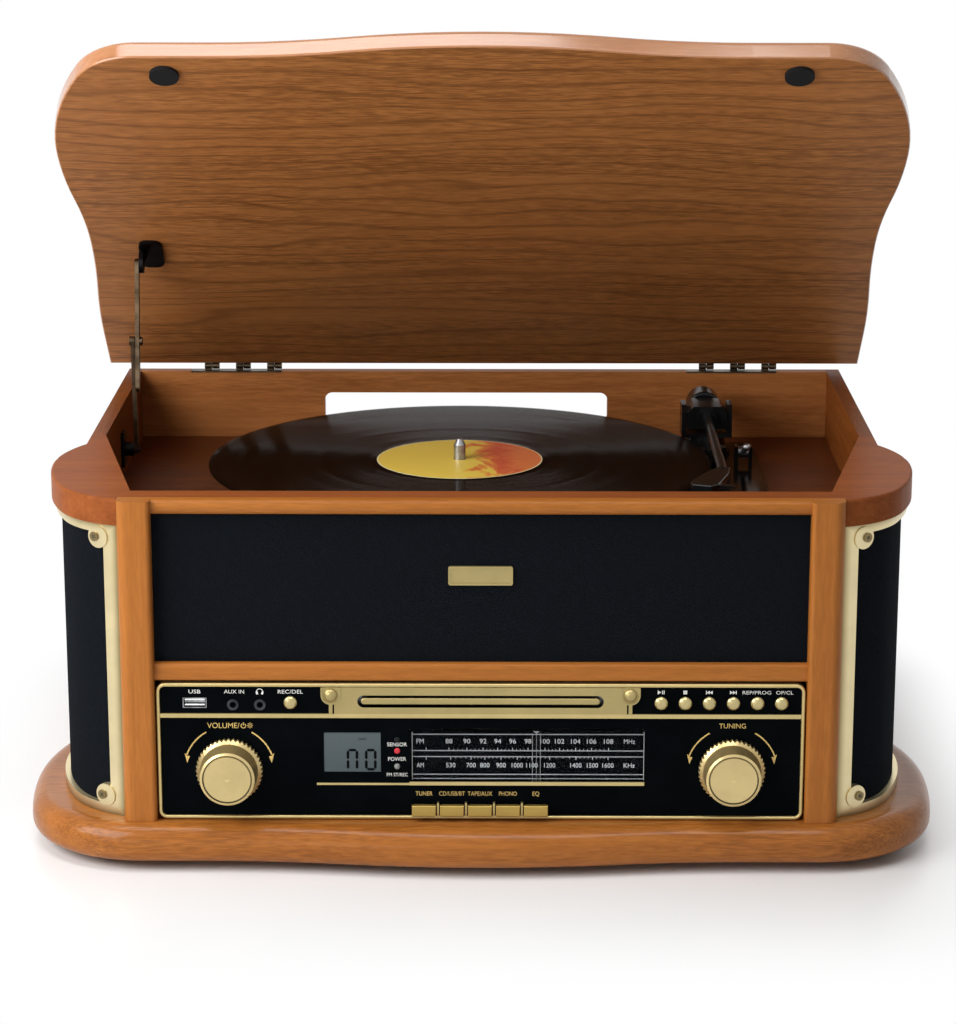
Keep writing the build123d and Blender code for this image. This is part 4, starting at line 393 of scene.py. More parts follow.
# %% Grille frames
rim_x, rim_low, rim_high = 0.1993, 0.0270, 0.1960
painted_shade_width = 0.0050
trim_gold = gold("trim_gold", rgb(222, 206, 162), 0.30, 0.15)
x, _, z = trim_gold.axes()
# Painted shade: the gold runs to a dark olive near the column, the plinth and the deck, where the
# rolled edge turns from the light.
inset = trim_gold.math("MINIMUM", trim_gold.math("SUBTRACT", z, rim_low),
                       trim_gold.math("SUBTRACT", rim_high, z))
inset = trim_gold.math("MINIMUM", inset,
                       trim_gold.math("SUBTRACT", trim_gold.math("ABSOLUTE", x), rim_x))
near = trim_gold.math("SUBTRACT", 1.0, trim_gold.math("MULTIPLY", inset, 1 / painted_shade_width))
shade = trim_gold.math("MULTIPLY", trim_gold.math("POWER", trim_gold.clamp(near), 1.6), 0.85)
trim_gold.paint(trim_gold.mix(shade, trim_gold.tone, rgb(112, 90, 38)))
dress(trim_gold, "grille_frames")

# %% [markdown]
# Hinges, stay and sockets are bare or blackened metal. Noise that is squeezed hard along one axis
# makes the fine lines of brushing, and a stained tone under it makes them look handled.

# %% Steel
def metal(name, colour, roughness, brushed):
    """Worn metal, brushed along one axis."""
    shader = Shader(name, colour, roughness, 1.0)
    scale = [1.0, 1.0, 1.0]
    scale[brushed] = 0.04
    lines = shader.noise(shader.mapping(tuple(scale)), 1500, 3.0, 0.6)
    shader.roughen(shader.span(lines, roughness - 0.1, roughness + 0.15))
    stain = shader.noise(shader.mapping(), 120, 4.0, 0.6)
    shader.paint(shader.ramp(stain, (0.38, darkened(colour, 0.45)), (0.60, colour)))
    shader.bump(lines, 0.00003, 0.3)
    return shader


dress(metal("hinge_metal", rgb(92, 78, 62), 0.42, 0), "cabinet_hinge_leaves", "lid_hinge_leaves")
dress(metal("rod_metal", rgb(100, 84, 66), 0.36, 2), "stay_upper_link", "stay_lower_link")
dress(metal("black_metal", rgb(34, 32, 32), 0.40, 2), "stay_lid_bracket", "stay_wall_bracket")
dress(metal("bare_steel", rgb(170, 170, 172), 0.34, 1), "platter", "front_sockets", "cd_drive",
      "drive_motor", "cue_lever")
data_socket_end = -0.148
second_finish("front_sockets", metal("jack_metal", rgb(70, 72, 76), 0.35, 1),
              lambda face: face.center.x > data_socket_end)

# %% [markdown]
# ## Black parts
# The fascia and the turntable are glossy mouldings. A perfect mirror would give them away, so they
# get a trace of dust and a soft swell that bends reflections. What only closes a gap is matt, and
# feet and pads are rubber.

# %% Plastics
def plastic(name, colour, roughness, swell=0.0, grain=0.0, level=0.5):
    """Moulded plastic."""
    shader = Shader(name, colour, roughness, **{"Specular IOR Level": level})
    dust = shader.noise(shader.mapping(), 30, 5.0, 0.65)
    shader.roughen(shader.span(dust, max(roughness - 0.04, 0.02), roughness + 0.07))
    lighter = tuple(min(1.0, c * 1.5 + 0.001) for c in colour[:3]) + (1.0,)
    shader.paint(shader.ramp(dust, (0.35, colour), (0.75, lighter)))
    if grain:
        shader.bump(shader.noise(shader.mapping(), 2200, 2.0), 0.00010, grain)
    elif swell:
        shader.bump(shader.noise(shader.mapping(), 9, 1.0), 0.0005, swell)
    return shader


gloss_black = plastic("gloss_black", rgb(3, 5, 7), 0.08, swell=0.10, level=0.012)
chassis_black = plastic("chassis_black", rgb(10, 9, 8), 0.13, swell=0.12, level=0.10)
arm_black = plastic("arm_black", rgb(12, 12, 12), 0.20, level=0.25)
matt_black = plastic("matt_black", rgb(18, 18, 20), 0.55, grain=0.4, level=0.15)
rubber = plastic("black_rubber", rgb(18, 18, 19), 0.75, grain=0.7, level=0.2)
dress(gloss_black, "fascia")
dress(chassis_black, "turntable_chassis")
dress(arm_black, "tonearm", "tonearm_turret", "speed_lever", "cassette_key")
dress(matt_black, "rear_socket_plate", "cassette_deck", "cassette_flap", "speaker_drivers")
dress(rubber, "rubber_feet", "lid_pads", "drive_belt")
dress(plastic("winding_tape", rgb(70, 62, 40), 0.5, grain=0.3), "power_transformer")
dress(plastic("board_green", rgb(22, 70, 44), 0.4, grain=0.5), "circuit_boards")

# %% [markdown]
# The slot of the disc surround is gold only on its face: its inner walls are black gloss, as
# painted shade. The tray is the other way round, black with a gold bar in front, so it looks right
# when it slides out. Both are told apart by where a face lies, which needs no extra pieces.

# %% Slot and tray
tray_low, tray_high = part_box("cd_tray")
tray_z, tray_half_height = middle("cd_tray", 2), (tray_high[2] - tray_low[2]) / 2
slot_rim = 0.0024
tray_bar_depth = 0.0035
faces_front = -0.5


def in_slot(face):
    """Whether a face of the surround is one of the walls round the tray."""
    c = face.center
    level_in = abs(c.z - tray_z) < tray_half_height + slot_rim
    across_in = tray_low[0] - slot_rim < c.x < tray_high[0] + slot_rim
    return level_in and across_in and face.normal.y > faces_front


# Painted shade: the slot walls take the fascia's black gloss, so the slot shows as a dark gap round
# the tray.
second_finish("cd_surround", gloss_black, in_slot)
second_finish("cd_tray", matt_black, lambda face: face.center.y > tray_low[1] + tray_bar_depth)

# %% [markdown]
# ## Loudspeaker cloth
# The cloth is a black twill. Modelled threads would take millions of faces, so two crossed waves
# make the weave: one follows the diagonal ribs, the other the threads across them. The distance
# round the cabinet is |x| + y on the curved grilles and x on the flat front.

# %% Cloth
rib_length, thread_length, thread_slope = 0.0017, 0.0021, 2.6


def twill(name, curved):
    """Black twill cloth."""
    shader = Shader(name, rgb(12, 13, 16), 0.90, **{"Specular IOR Level": 0.02})
    x, y, z = shader.axes()
    run = shader.math("ADD", shader.math("ABSOLUTE", x), y) if curved else x
    rib = shader.wave(shader.math("ADD", run, z), rib_length)
    across = shader.math("SUBTRACT", run, shader.math("MULTIPLY", z, thread_slope))
    thread = shader.wave(across, thread_length)
    weave = shader.math("MULTIPLY_ADD", shader.math("MULTIPLY", rib, thread), 0.5, 0.5)
    lift = shader.math("POWER", weave, 2.0)
    fleck = shader.noise(shader.mapping(), 900, 2.0, 0.5)
    value = shader.math("MULTIPLY", lift, shader.span(fleck, 0.2, 1.6))
    shader.paint(shader.ramp(value, (0.05, rgb(4, 5, 7)), (0.85, rgb(40, 45, 52))))
    shader.bump(lift, 0.00035, 0.8)
    return shader


dress(twill("front_twill", False), "front_cloth_panel")
dress(twill("grille_twill", True), "grille_cloths")

# %% [markdown]
# ## Record
# A record's groove is one long spiral, too fine to model. Rings about the spindle look the same
# and turn with the record without a wobble. A slow noise over the radius makes the darker and
# lighter bands of loud and quiet passages.

# %% Record
groove_pitch = 0.0009


def vinyl():
    """Black vinyl, tinted brown as a painted reflection of the wooden lid, with rings about the
    spindle.
    """
    shader = Shader("vinyl", rgb(14, 9, 7), 0.16, **{"Specular IOR Level": 0.02})
    x, y, _ = shader.axes()
    radius = shader.radius(x, y, (spindle.x, spindle.y))
    ring = shader.add("ShaderNodeCombineXYZ")
    shader.link(radius, ring.inputs[0])
    bands = shader.noise(ring.outputs[0], 130, 4.0, 0.7)
    shader.roughen(shader.span(bands, 0.06, 0.18))
    # Painted reflection: the brown in these blacks stands for the wooden lid mirrored in the
    # record.
    shader.paint(shader.ramp(bands, (0.3, rgb(7, 4, 3)), (0.7, rgb(20, 11, 7))))
    shader.bump(shader.math("MULTIPLY", shader.wave(radius, groove_pitch), bands), 0.00006, 0.5)
    return shader


dress(vinyl(), "record")

# %% [markdown]
# ## Display, lamps and clear parts
# The display is a grey liquid crystal panel that is a little lighter at its top. Lamps are cloudy
# lenses with a weak painted glow, because a lens lit only from outside looks like paint. The
# dial window is thin clear plastic: partly transparent, so that the scale behind it stays readable.

# %% Display
display_low, display_high = 0.053, 0.079


def display_grey():
    """Grey liquid crystal with a soft gradient."""
    shader = Shader("display_grey", rgb(80, 90, 94), 0.25, **{"Specular IOR Level": 0.08})
    shade = shader.add("ShaderNodeMapRange")
    shade.inputs["From Min"].default_value = display_low
    shade.inputs["From Max"].default_value = display_high
    shader.link(shader.axes()[2], shade.inputs["Value"])
    shader.paint(shader.ramp(shade.outputs["Result"], (0.0, rgb(74, 84, 87)),
                             (1.0, rgb(86, 95, 98))))
    return shader


def lamp(name, colour, strength):
    """Moulded lamp lens with a cloudy body and a weak painted glow."""
    shader = Shader(name, colour, 0.18, **{"Emission Color": colour, "Emission Strength": strength})
    cloud = shader.noise(shader.mapping(), 700, 2.0)
    shader.paint(shader.ramp(cloud, (0.3, darkened(colour, 0.5)), (0.7, colour)))
    return shader


dress(display_grey(), "display_module")
display_mesh = nodes["display_module"].data
# Painted glow: each lens emits a little light of its own.
for extra in (lamp("red_lamp", rgb(196, 44, 52), 0.45), lamp("grey_lamp", rgb(150, 150, 150), 0.05),
              matt_black):
    display_mesh.materials.append(extra.material)

# %% [markdown]
# The panel, the two lamps and the sensor share one board, which is one node. Its faces take their
# material from where they lie: the lamps are right of the panel, one above the other, with the
# sensor over them.

# %% Display faces
panel_end_x = -0.0505
lamp_split_z, sensor_z = 0.062, 0.071
board_depth = 0.004
GREY, RED_LAMP, GREY_LAMP, BLACK = range(4)
for face in display_mesh.polygons:
    c = face.center
    if c.x > panel_end_x:
        above = RED_LAMP if lamp_split_z < c.z < sensor_z else BLACK
        face.material_index = GREY_LAMP if c.z < lamp_split_z else above
    elif c.y > fascia_y + board_depth:
        face.material_index = BLACK
print("display faces:", len(display_mesh.polygons))

# %% Clear parts
def clear(name, roughness):
    """Clear moulded window."""
    shader = Shader(name, WHITE, roughness, **{"Transmission Weight": 1.0, "IOR": 1.15,
                                               "Alpha": 0.28})
    smear = shader.noise(shader.mapping(), 60, 3.0)
    shader.roughen(shader.span(smear, roughness, roughness + 0.04))
    return shader


dress(clear("clear_window", 0.02), "dial_window")
dress(clear("pointer_clear", 0.05), "dial_pointer")

# %% [markdown]
# ## Print
# Legends are flat films of ink. They could be a picture on the fascia, but then they would blur
# close up. Letters come from Blender's own font, turned into a mesh; signs and lines are drawn
# with bmesh operators. A sheet gathers them in X and Y, gets a little thickness and is stood up as
# one piece.

# %% Inks
ink_white = plastic("ink_white", rgb(214, 214, 210), 0.5)
ink_gold = plastic("ink_gold", rgb(192, 164, 100), 0.4, level=0.2)
ink_dark = plastic("ink_dark", rgb(4, 6, 8), 0.4, level=0.05)
ink_dial = plastic("ink_dial", rgb(184, 187, 190), 0.5, level=0.1)
print("inks ready")

# %% New pieces
def new_piece(name, build, shader, body):
    """Make a finished bmesh a piece that rides on a body, with its material."""
    mesh = bpy.data.meshes.new(name)
    build.to_mesh(mesh)
    build.free()
    mesh.materials.append(shader.material)
    piece = bpy.data.objects.new(name, mesh)
    bpy.context.scene.collection.objects.link(piece)
    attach(piece, body)
    print(name, len(mesh.polygons), "faces")


# %% Sheets of ink
CAPITAL = 0.70


class Sheet:
    """Flat ink, drawn in X and Y and stood up as one piece at the end."""

    def __init__(self):
        self.build = bmesh.new()

    def write(self, words, height, x, z, wide):
        """Words with capitals of a height, centred at x, z and squeezed to a width."""
        curve = bpy.data.curves.new("letters", "FONT")
        curve.body = words
        curve.size = height / CAPITAL
        curve.align_x = "CENTER"
        curve.resolution_u = 3
        holder = bpy.data.objects.new("letters", curve)
        bpy.context.scene.collection.objects.link(holder)
        mesh = bpy.data.meshes.new_from_object(holder)
        low = min(v.co.x for v in mesh.vertices)
        high = max(v.co.x for v in mesh.vertices)
        mesh.transform(Matrix.Translation((x, z - height / 2, 0))
                       @ Matrix.Diagonal((wide / (high - low), 1, 1, 1))
                       @ Matrix.Translation((-(low + high) / 2, 0, 0)))
        self.build.from_mesh(mesh)
        bpy.data.objects.remove(holder)
        bpy.data.curves.remove(curve)
        bpy.data.meshes.remove(mesh)

    def line(self, x0, z0, x1, z1, width):
        """A straight bar from one point to another."""
        length = sqrt((x1 - x0) ** 2 + (z1 - z0) ** 2)
        place = (Matrix.Translation(((x0 + x1) / 2, (z0 + z1) / 2, 0))
                 @ Matrix.Rotation(atan2(z1 - z0, x1 - x0), 4, "Z")
                 @ Matrix.Diagonal((length, width, 1, 1)))
        bmesh.ops.create_grid(self.build, x_segments=1, y_segments=1, size=0.5, matrix=place)

    def box(self, x0, x1, z0, z1):
        """An upright rectangle between two corners."""
        self.line(x0, (z0 + z1) / 2, x1, (z0 + z1) / 2, z1 - z0)

    def shape(self, *points):
        """A face through a few corners."""
        corners = [self.build.verts.new((x, z, 0)) for x, z in points]
        bmesh.ops.contextual_create(self.build, geom=corners)

    def arc(self, x, z, radius, width, start, end, steps=24):
        """A band round a centre, between two angles."""
        a = radians(start)
        ends = [self.build.verts.new((x + r * cos(a), z + r * sin(a), 0))
                for r in (radius - width / 2, radius + width / 2)]
        edge = self.build.edges.new(ends)
        bmesh.ops.spin(self.build, geom=ends + [edge], cent=(x, z, 0), axis=(0, 0, 1),
                       angle=radians(end - start), steps=steps, use_merge=False)

    def dot(self, x, z, radius):
        bmesh.ops.create_circle(self.build, cap_ends=True, segments=16, radius=radius,
                                matrix=Matrix.Translation((x, z, 0)))

    def piece(self, name, y, shader, body="cabinet", slot="black_gloss", thick=0.00006):
        """Give the sheet its thickness and stand it up in front of the plane at y, on one body."""
        build = self.build
        bmesh.ops.remove_doubles(build, verts=build.verts, dist=1e-7)
        for face in build.faces:
            if face.normal.z < 0:
                face.normal_flip()
        whole = bmesh.ops.extrude_face_region(build, geom=list(build.faces))
        raised = [v for v in whole["geom"] if isinstance(v, bmesh.types.BMVert)]
        bmesh.ops.translate(build, verts=raised, vec=(0, 0, thick))
        bmesh.ops.recalc_face_normals(build, faces=build.faces)
        place = Matrix.Translation((0, y, 0)) @ Matrix.Rotation(pi / 2, 4, "X")
        bmesh.ops.transform(build, matrix=place, verts=build.verts)
        new_piece(name, build, shader, body)


print("capitals are", CAPITAL, "of a letter's size")

# %% [markdown]
# ## Legends of the upper row
# White words stand above the sockets and the round buttons: input names on the left, transport
# signs on the right. The font has no transport signs, so they are made of triangles and bars.

# %% Upper row words
row = Sheet()
row_z = 0.1017
usb_x, aux_x, phones_x = -0.1584, -0.1373, -0.1223
repeat_x, open_x = middle("repeat_button"), middle("open_button")
for word, height, x, wide in (
        ("USB", 0.0022, usb_x, 0.0066), ("AUX IN", 0.0022, aux_x + 0.0008, 0.0112),
        ("REC/DEL", 0.0022, middle("rec_button"), 0.0140),
        ("REP/PROG", 0.0020, repeat_x - 0.0003, 0.0158),
        ("OP/CL", 0.0020, open_x + 0.0018, 0.0095)):
    row.write(word, height, x, row_z, wide)
row.arc(phones_x, row_z - 0.0002, 0.0018, 0.0004, 0, 180)
for side in (-1, 1):
    row.line(phones_x + side * 0.0013, row_z - 0.0016, phones_x + side * 0.0017, row_z, 0.0011)

# %% Transport signs
half_sign = 0.0011
bar_width = 0.0005
play_size, skip_size = 0.0020, 0.0018


def triangle(sheet, x, z, size, direction):
    """A triangle that points right for a direction of 1 and left for -1."""
    sheet.shape((x - direction * size * 0.5, z - size * 0.6), (x + direction * size * 0.5, z),
                (x - direction * size * 0.5, z + size * 0.6))


play_x, stop_x, previous_x, next_x = [middle(name) for name in button_nodes[:4]]
triangle(row, play_x - 0.0009, row_z, play_size, 1)
for left in (play_x + 0.0005, play_x + 0.0014):
    row.box(left, left + bar_width, row_z - half_sign, row_z + half_sign)
row.box(stop_x - half_sign, stop_x + half_sign, row_z - half_sign, row_z + half_sign)
for centre, direction in ((previous_x, -1), (next_x, 1)):
    for shift in (-0.0010, 0.0006):
        triangle(row, centre + direction * shift, row_z, skip_size, direction)
    bar_x = centre + direction * 0.0016
    row.box(bar_x - bar_width / 2, bar_x + bar_width / 2, row_z - half_sign, row_z + half_sign)
row.piece("row_legends", fascia_y, ink_white)

# %% [markdown]
# ## Knob and key legends
# A gold word stands above each knob and each key. A pair of curved arrows with barbed heads beside
# a knob shows that it turns: each is a spun arc with two slim faces for its head.

# %% Arrows
knobs = Sheet()
arrow_radius, arrow_width = 0.0252, 0.0008


def arrow(sheet, x, z, side):
    """A curved arrow beside a knob with its barbed head down; side is -1 for the left one."""
    start, end = (120, 160) if side < 0 else (60, 20)
    sheet.arc(x, z, arrow_radius, arrow_width, start, end, 18)
    foot_x = x + arrow_radius * cos(radians(end))
    foot_z = z + arrow_radius * sin(radians(end))
    tip = (foot_x - side * 0.0001, foot_z - 0.0048)
    notch = (foot_x - side * 0.0003, foot_z - 0.0006)
    sheet.shape((foot_x + side * 0.0013, foot_z + 0.0010), tip, notch)
    sheet.shape(tip, (foot_x - side * 0.0017, foot_z - 0.0008), notch)


for x in (volume_x, tuning_x):
    for side in (-1, 1):
        arrow(knobs, x, knob_z, side)

# %% Knob and key words
word_z, key_z = 0.0820, 0.0423
knobs.write("VOLUME/", 0.0032, volume_x - 0.0030, word_z, 0.0180)
knobs.write("TUNING", 0.0028, tuning_x, word_z + 0.0003, 0.0148)
key_words = (("TUNER", 0.0094), ("CD/USB/BT", 0.0144), ("TAPE/AUX", 0.0137), ("PHONO", 0.0100),
             ("EQ", 0.0038))
for node, (word, wide) in zip(key_nodes, key_words):
    knobs.write(word, 0.0025, middle(node), key_z, wide)

# %% Power and lamp signs
power_x = volume_x + 0.0081
power_bar, power_height = 0.00044, 0.0018
knobs.arc(power_x, word_z - 0.0002, 0.0013, 0.0004, 120, 420)
knobs.box(power_x - power_bar / 2, power_x + power_bar / 2, word_z, word_z + power_height)
lamp_sign_x, ray_length = power_x + 0.0037, 0.0017
knobs.dot(lamp_sign_x, word_z, 0.0008)
for turn in range(0, 180, 45):
    across, upward = ray_length * cos(radians(turn)), ray_length * sin(radians(turn))
    knobs.line(lamp_sign_x - across, word_z - upward,
               lamp_sign_x + across, word_z + upward, 0.00035)
knobs.piece("gold_legends", fascia_y, ink_gold)

# %% Lamp words
lamps = Sheet()
lamp_x = -0.0464
lamps.write("SENSOR", 0.0022, lamp_x, 0.0711, 0.0110)
lamps.write("POWER", 0.0022, lamp_x, 0.0626, 0.0100)
lamps.write("FM ST/REC", 0.0020, lamp_x, 0.0534, 0.0116)
lamps.piece("lamp_legends", fascia_y, ink_white)

# %% [markdown]
# ## Radio dial
# The scale lies on the floor of the dial's pocket, behind the clear window. A radio dial isn't
# linear, so a rule can't space its numbers: each station has its own distance in millimetres from
# the dial's zero, and even ticks fill the gaps.

# %% Dial lines
dial = Sheet()
window_to_pocket = 0.0039
pocket_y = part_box("dial_window")[0][1] + window_to_pocket
line_width = 0.00032
dial_left, dial_right, dial_low, dial_high = -0.0381, 0.0910, 0.0490, 0.0772
levels = (0.0758, 0.0662, 0.0627, 0.0523, 0.0498)
for z in levels:
    dial.box(dial_left, dial_right, z - line_width / 2, z + line_width / 2)
for x in (dial_left, dial_right):
    dial.box(x - line_width / 2, x + line_width / 2, dial_low, dial_high)

# %% Stations
fm = dict(zip(range(88, 110, 2),
              (-17.59, -7.62, 1.39, 9.57, 17.87, 26.44, 35.90, 44.03, 52.99, 61.84, 71.30)))
am = {530: -16.64, 700: -5.29, 800: 2.39, 900: 11.41, 1000: 20.48, 1100: 28.66, 1200: 38.57,
      1400: 53.21, 1500: 62.45, 1600: 71.08}
label_x, first_tick_x, unit_x = -33.67 * MM, -30.33 * MM, 82.93 * MM
number_widths = {2: 0.0038, 3: 0.0052, 4: 0.0062}
TALL, LONG = 1.9, 1.7
print("stations:", len(fm), "and", len(am))

# %% Bands
def tick(x, width, line_z, rise):
    """An upright mark on a line; it hangs down from it when the rise is below zero."""
    dial.box(x - width / 2, x + width / 2, *sorted((line_z, line_z + rise)))


def band(stations, unit, label, number_z, line_z, rise, steps=4):
    """Numbers, long ticks at them and short ticks between them."""
    dial.write(label, 0.0027, label_x, number_z, 0.0040)
    dial.write(unit, 0.0026, unit_x, number_z, 0.0062)
    tick(first_tick_x, 0.00030, line_z, rise * TALL)
    places = [(str(value), place * MM) for value, place in sorted(stations.items())]
    for index, (number, x) in enumerate(places):
        dial.write(number, 0.0027, x, number_z, number_widths[len(number)])
        tick(x, 0.00036, line_z, rise * LONG)
        if index + 1 < len(places):
            gap = (places[index + 1][1] - x) / steps
            for step in range(1, steps):
                tick(x + gap * step, 0.00024, line_z, rise)


band(fm, "MHz", "FM", 0.0718, levels[1], 0.0010)
band(am, "KHz", "AM", 0.0577, levels[2], -0.0010)
dial.piece("dial_scale", pocket_y, ink_dial)

# %% [markdown]
# ## Pointer edges, socket contacts and screw slots
# The clear pointer shows two painted highlights on its edges and a fine hairline. They are a
# sheet of ink that rides with it. Two pale contact strips lie in the mouth of the data socket.

# %% Pointer edges
pocket_to_pointer = 0.0022
pointer_y = pocket_y - pocket_to_pointer
pointer_x = 0.0311
glints_and_hairline = Sheet()
# Painted highlights: the two outer bars stand for light on the pointer's clear edges; the middle
# one is its hairline.
for offset, width in ((-0.0022, 0.00028), (0.0022, 0.00028), (0.0, 0.00018)):
    glints_and_hairline.box(pointer_x + offset - width / 2, pointer_x + offset + width / 2, 0.0482, dial_high)
glints_and_hairline.shape((pointer_x - 0.0018, 0.0784), (pointer_x, 0.0768), (pointer_x + 0.0018, 0.0784))
glints_and_hairline.piece("pointer_glints_and_hairline", pointer_y, plastic("ink_glint_and_hairline", rgb(128, 130, 132), 0.3),
            body="pointer", slot="clear", thick=0.00004)

# %% Socket contacts
contacts = Sheet()
contact_half_length = 0.0055
for z, height in ((0.0967, 0.0011), (0.0937, 0.0008)):
    contacts.box(usb_x - contact_half_length, usb_x + contact_half_length, z, z + height)
contacts.piece("socket_contacts", fascia_y + 0.0004,
               plastic("contact_metal", rgb(222, 226, 226), 0.3), slot="steel", thick=0.0003)

# %% [markdown]
# Each screw head has a crossed recess. Cutting it would mean changing the solids, so a dark cross
# of painted shade lies in each head. The heads face many ways: each is found as a loose part of
# its node, and its cross is turned to face as the head does.

# %% Loose parts
def loose_parts(mesh):
    """Lists of corner positions, one for each separate part of a mesh."""
    build = bmesh.new()
    build.from_mesh(mesh)
    bmesh.ops.remove_doubles(build, verts=build.verts, dist=1e-6)
    left = set(build.verts)
    parts = []
    while left:
        fringe, part = [left.pop()], []
        while fringe:
            vert = fringe.pop()
            part.append(vert.co.copy())
            for edge in vert.link_edges:
                other = edge.other_vert(vert)
                if other in left:
                    left.remove(other)
                    fringe.append(other)
        parts.append(part)
    build.free()
    return parts


def thin_way(points):
    """The level direction in which a round flat part is thinnest."""
    def thickness(way):
        reach = [p.dot(way) for p in points]
        return max(reach) - min(reach)
    return min((Vector((cos(radians(turn)), sin(radians(turn)), 0)) for turn in range(180)),
               key=thickness)


screw_parts = loose_parts(nodes["cabinet_screws"].data)
print("screws:", len(screw_parts))

# %% Screw slots
cross_size = (0.0026, 0.0006, 0.0004, 1)
sunk = 0.0001
crosses = bmesh.new()
for part in screw_parts:
    centre = sum(part, Vector()) / len(part)
    wheel = [p - centre for p in part]
    upright = Vector((0, 0, 1))
    facing = thin_way(wheel)
    if facing.dot(Vector((centre.x, centre.y, 0))) < 0:
        facing = -facing
    top = max(p.dot(facing) for p in wheel)
    stand = Matrix((facing.cross(upright), upright, facing)).transposed().to_4x4()
    spot = Matrix.Translation(centre + facing * (top - sunk)) @ stand
    for turn in (35, 125):
        place = spot @ Matrix.Rotation(radians(turn), 4, "Z") @ Matrix.Diagonal(cross_size)
        bmesh.ops.create_cube(crosses, size=1.0, matrix=place)
# Painted shade: the dark crosses stand for the shade inside each recess.
new_piece("screw_slots", crosses, plastic("slot_shade", rgb(52, 42, 26), 0.5), "cabinet")

# %% [markdown]
# ## Display digits
# The digits have seven segments. Each is a six-sided bar, pointed at both ends, with a small gap
# at every corner; letters name the lit ones, a to g, as in a maker's data sheet.

# %% Digits
digits = Sheet()
bar = 0.0015
corner_gap = bar * 0.12
digit_wide, digit_tall = 0.0050, 0.0112


def segment(sheet, x0, z0, x1, z1):
    """One bar of a digit, pointed at both ends."""
    length = sqrt((x1 - x0) ** 2 + (z1 - z0) ** 2)
    ux, uz = (x1 - x0) / length, (z1 - z0) / length
    x0, z0 = x0 + ux * corner_gap, z0 + uz * corner_gap
    x1, z1 = x1 - ux * corner_gap, z1 - uz * corner_gap
    e = bar / 2
    sheet.shape((x0, z0), (x0 + (ux + uz) * e, z0 + (uz - ux) * e),
                (x1 - (ux - uz) * e, z1 - (uz + ux) * e), (x1, z1),
                (x1 - (ux + uz) * e, z1 - (uz - ux) * e), (x0 + (ux - uz) * e, z0 + (uz + ux) * e))


def digit(sheet, x, z, lit):
    """A digit with its lower left corner at x, z."""
    mid, top, right = z + digit_tall / 2, z + digit_tall, x + digit_wide
    bars = {"a": (x, top, right, top), "b": (right, mid, right, top), "c": (right, z, right, mid),
            "d": (x, z, right, z), "e": (x, z, x, mid), "f": (x, mid, x, top),
            "g": (x, mid, right, mid)}
    for name in lit:
        segment(sheet, *bars[name])


digit(digits, -0.0738, 0.0564, "abcef")
digit(digits, -0.0636, 0.0564, "abcdef")
digits.write("DISC", 0.0012, -0.0655, 0.0741, 0.0046)
digits.piece("display_digits", fascia_y + 0.0003, ink_dark, slot="display")

# %% [markdown]
# ## Record label
# The label is a printed paper disc with a plain sweep of warm colour and a pale line round it.
# Both are flat rings round the spindle hole: a small profile spun about the spindle. They lie on
# the record and turn with it.

# %% Label paper
def label_paper():
    """Printed paper: yellow on one side, running into red and orange on the other."""
    shader = Shader("label_paper", rgb(222, 176, 52), 0.42)
    across = shader.math("SUBTRACT", shader.axes()[0], spindle.x)
    swirl = shader.noise(shader.mapping((1.0, 0.6, 1.0)), 38, 4.0, 0.6, 1.6)
    slide = shader.math("MULTIPLY_ADD", across, 16.0,
                        shader.math("MULTIPLY_ADD", swirl, 1.3, -0.20))
    shader.paint(shader.ramp(slide, (0.60, rgb(236, 206, 84)), (0.68, rgb(226, 136, 62)),
                             (0.82, rgb(206, 84, 56)), (1.0, rgb(222, 122, 66))))
    shader.bump(shader.noise(shader.mapping(), 1500, 2.0), 0.00003, 0.3)
    return shader


# %% Label
hole_radius, paper_radius, rim_radius = 0.0038, 0.0492, 0.0499


def paper_ring(name, inner, outer, thick, shader):
    """A flat ring that lies on the record, as a short closed collar."""
    build = bmesh.new()
    low, high = spindle.z, spindle.z + thick
    loop = [build.verts.new((spindle.x + radius, spindle.y, height))
            for radius, height in ((inner, low), (outer, low), (outer, high), (inner, high))]
    edges = [build.edges.new((loop[i], loop[(i + 1) % 4])) for i in range(4)]
    bmesh.ops.spin(build, geom=loop + edges, cent=(spindle.x, spindle.y, 0), axis=(0, 0, 1),
                   angle=2 * pi, steps=96, use_merge=True)
    bmesh.ops.remove_doubles(build, verts=build.verts, dist=1e-7)
    bmesh.ops.recalc_face_normals(build, faces=build.faces)
    new_piece(name, build, shader, "turntable")


ink_pale = plastic("ink_pale", rgb(226, 214, 170), 0.45)
paper_ring("label_rim", paper_radius, rim_radius, 0.00013, ink_pale)
paper_ring("record_label", hole_radius, paper_radius, 0.00012, label_paper())

# %% [markdown]
# ## Light, floor and camera
# The floor is a pale sweep of studio paper that takes the shadow. A real sweep curves up behind;
# here the floor runs out to plain white away from the object, which looks the same and needs no
# wall.

# %% Floor paper
floor_half_x, floor_half_y = 0.22, 0.16
front_reach = 0.55
fade_start, fade_end = 0.005, 0.10


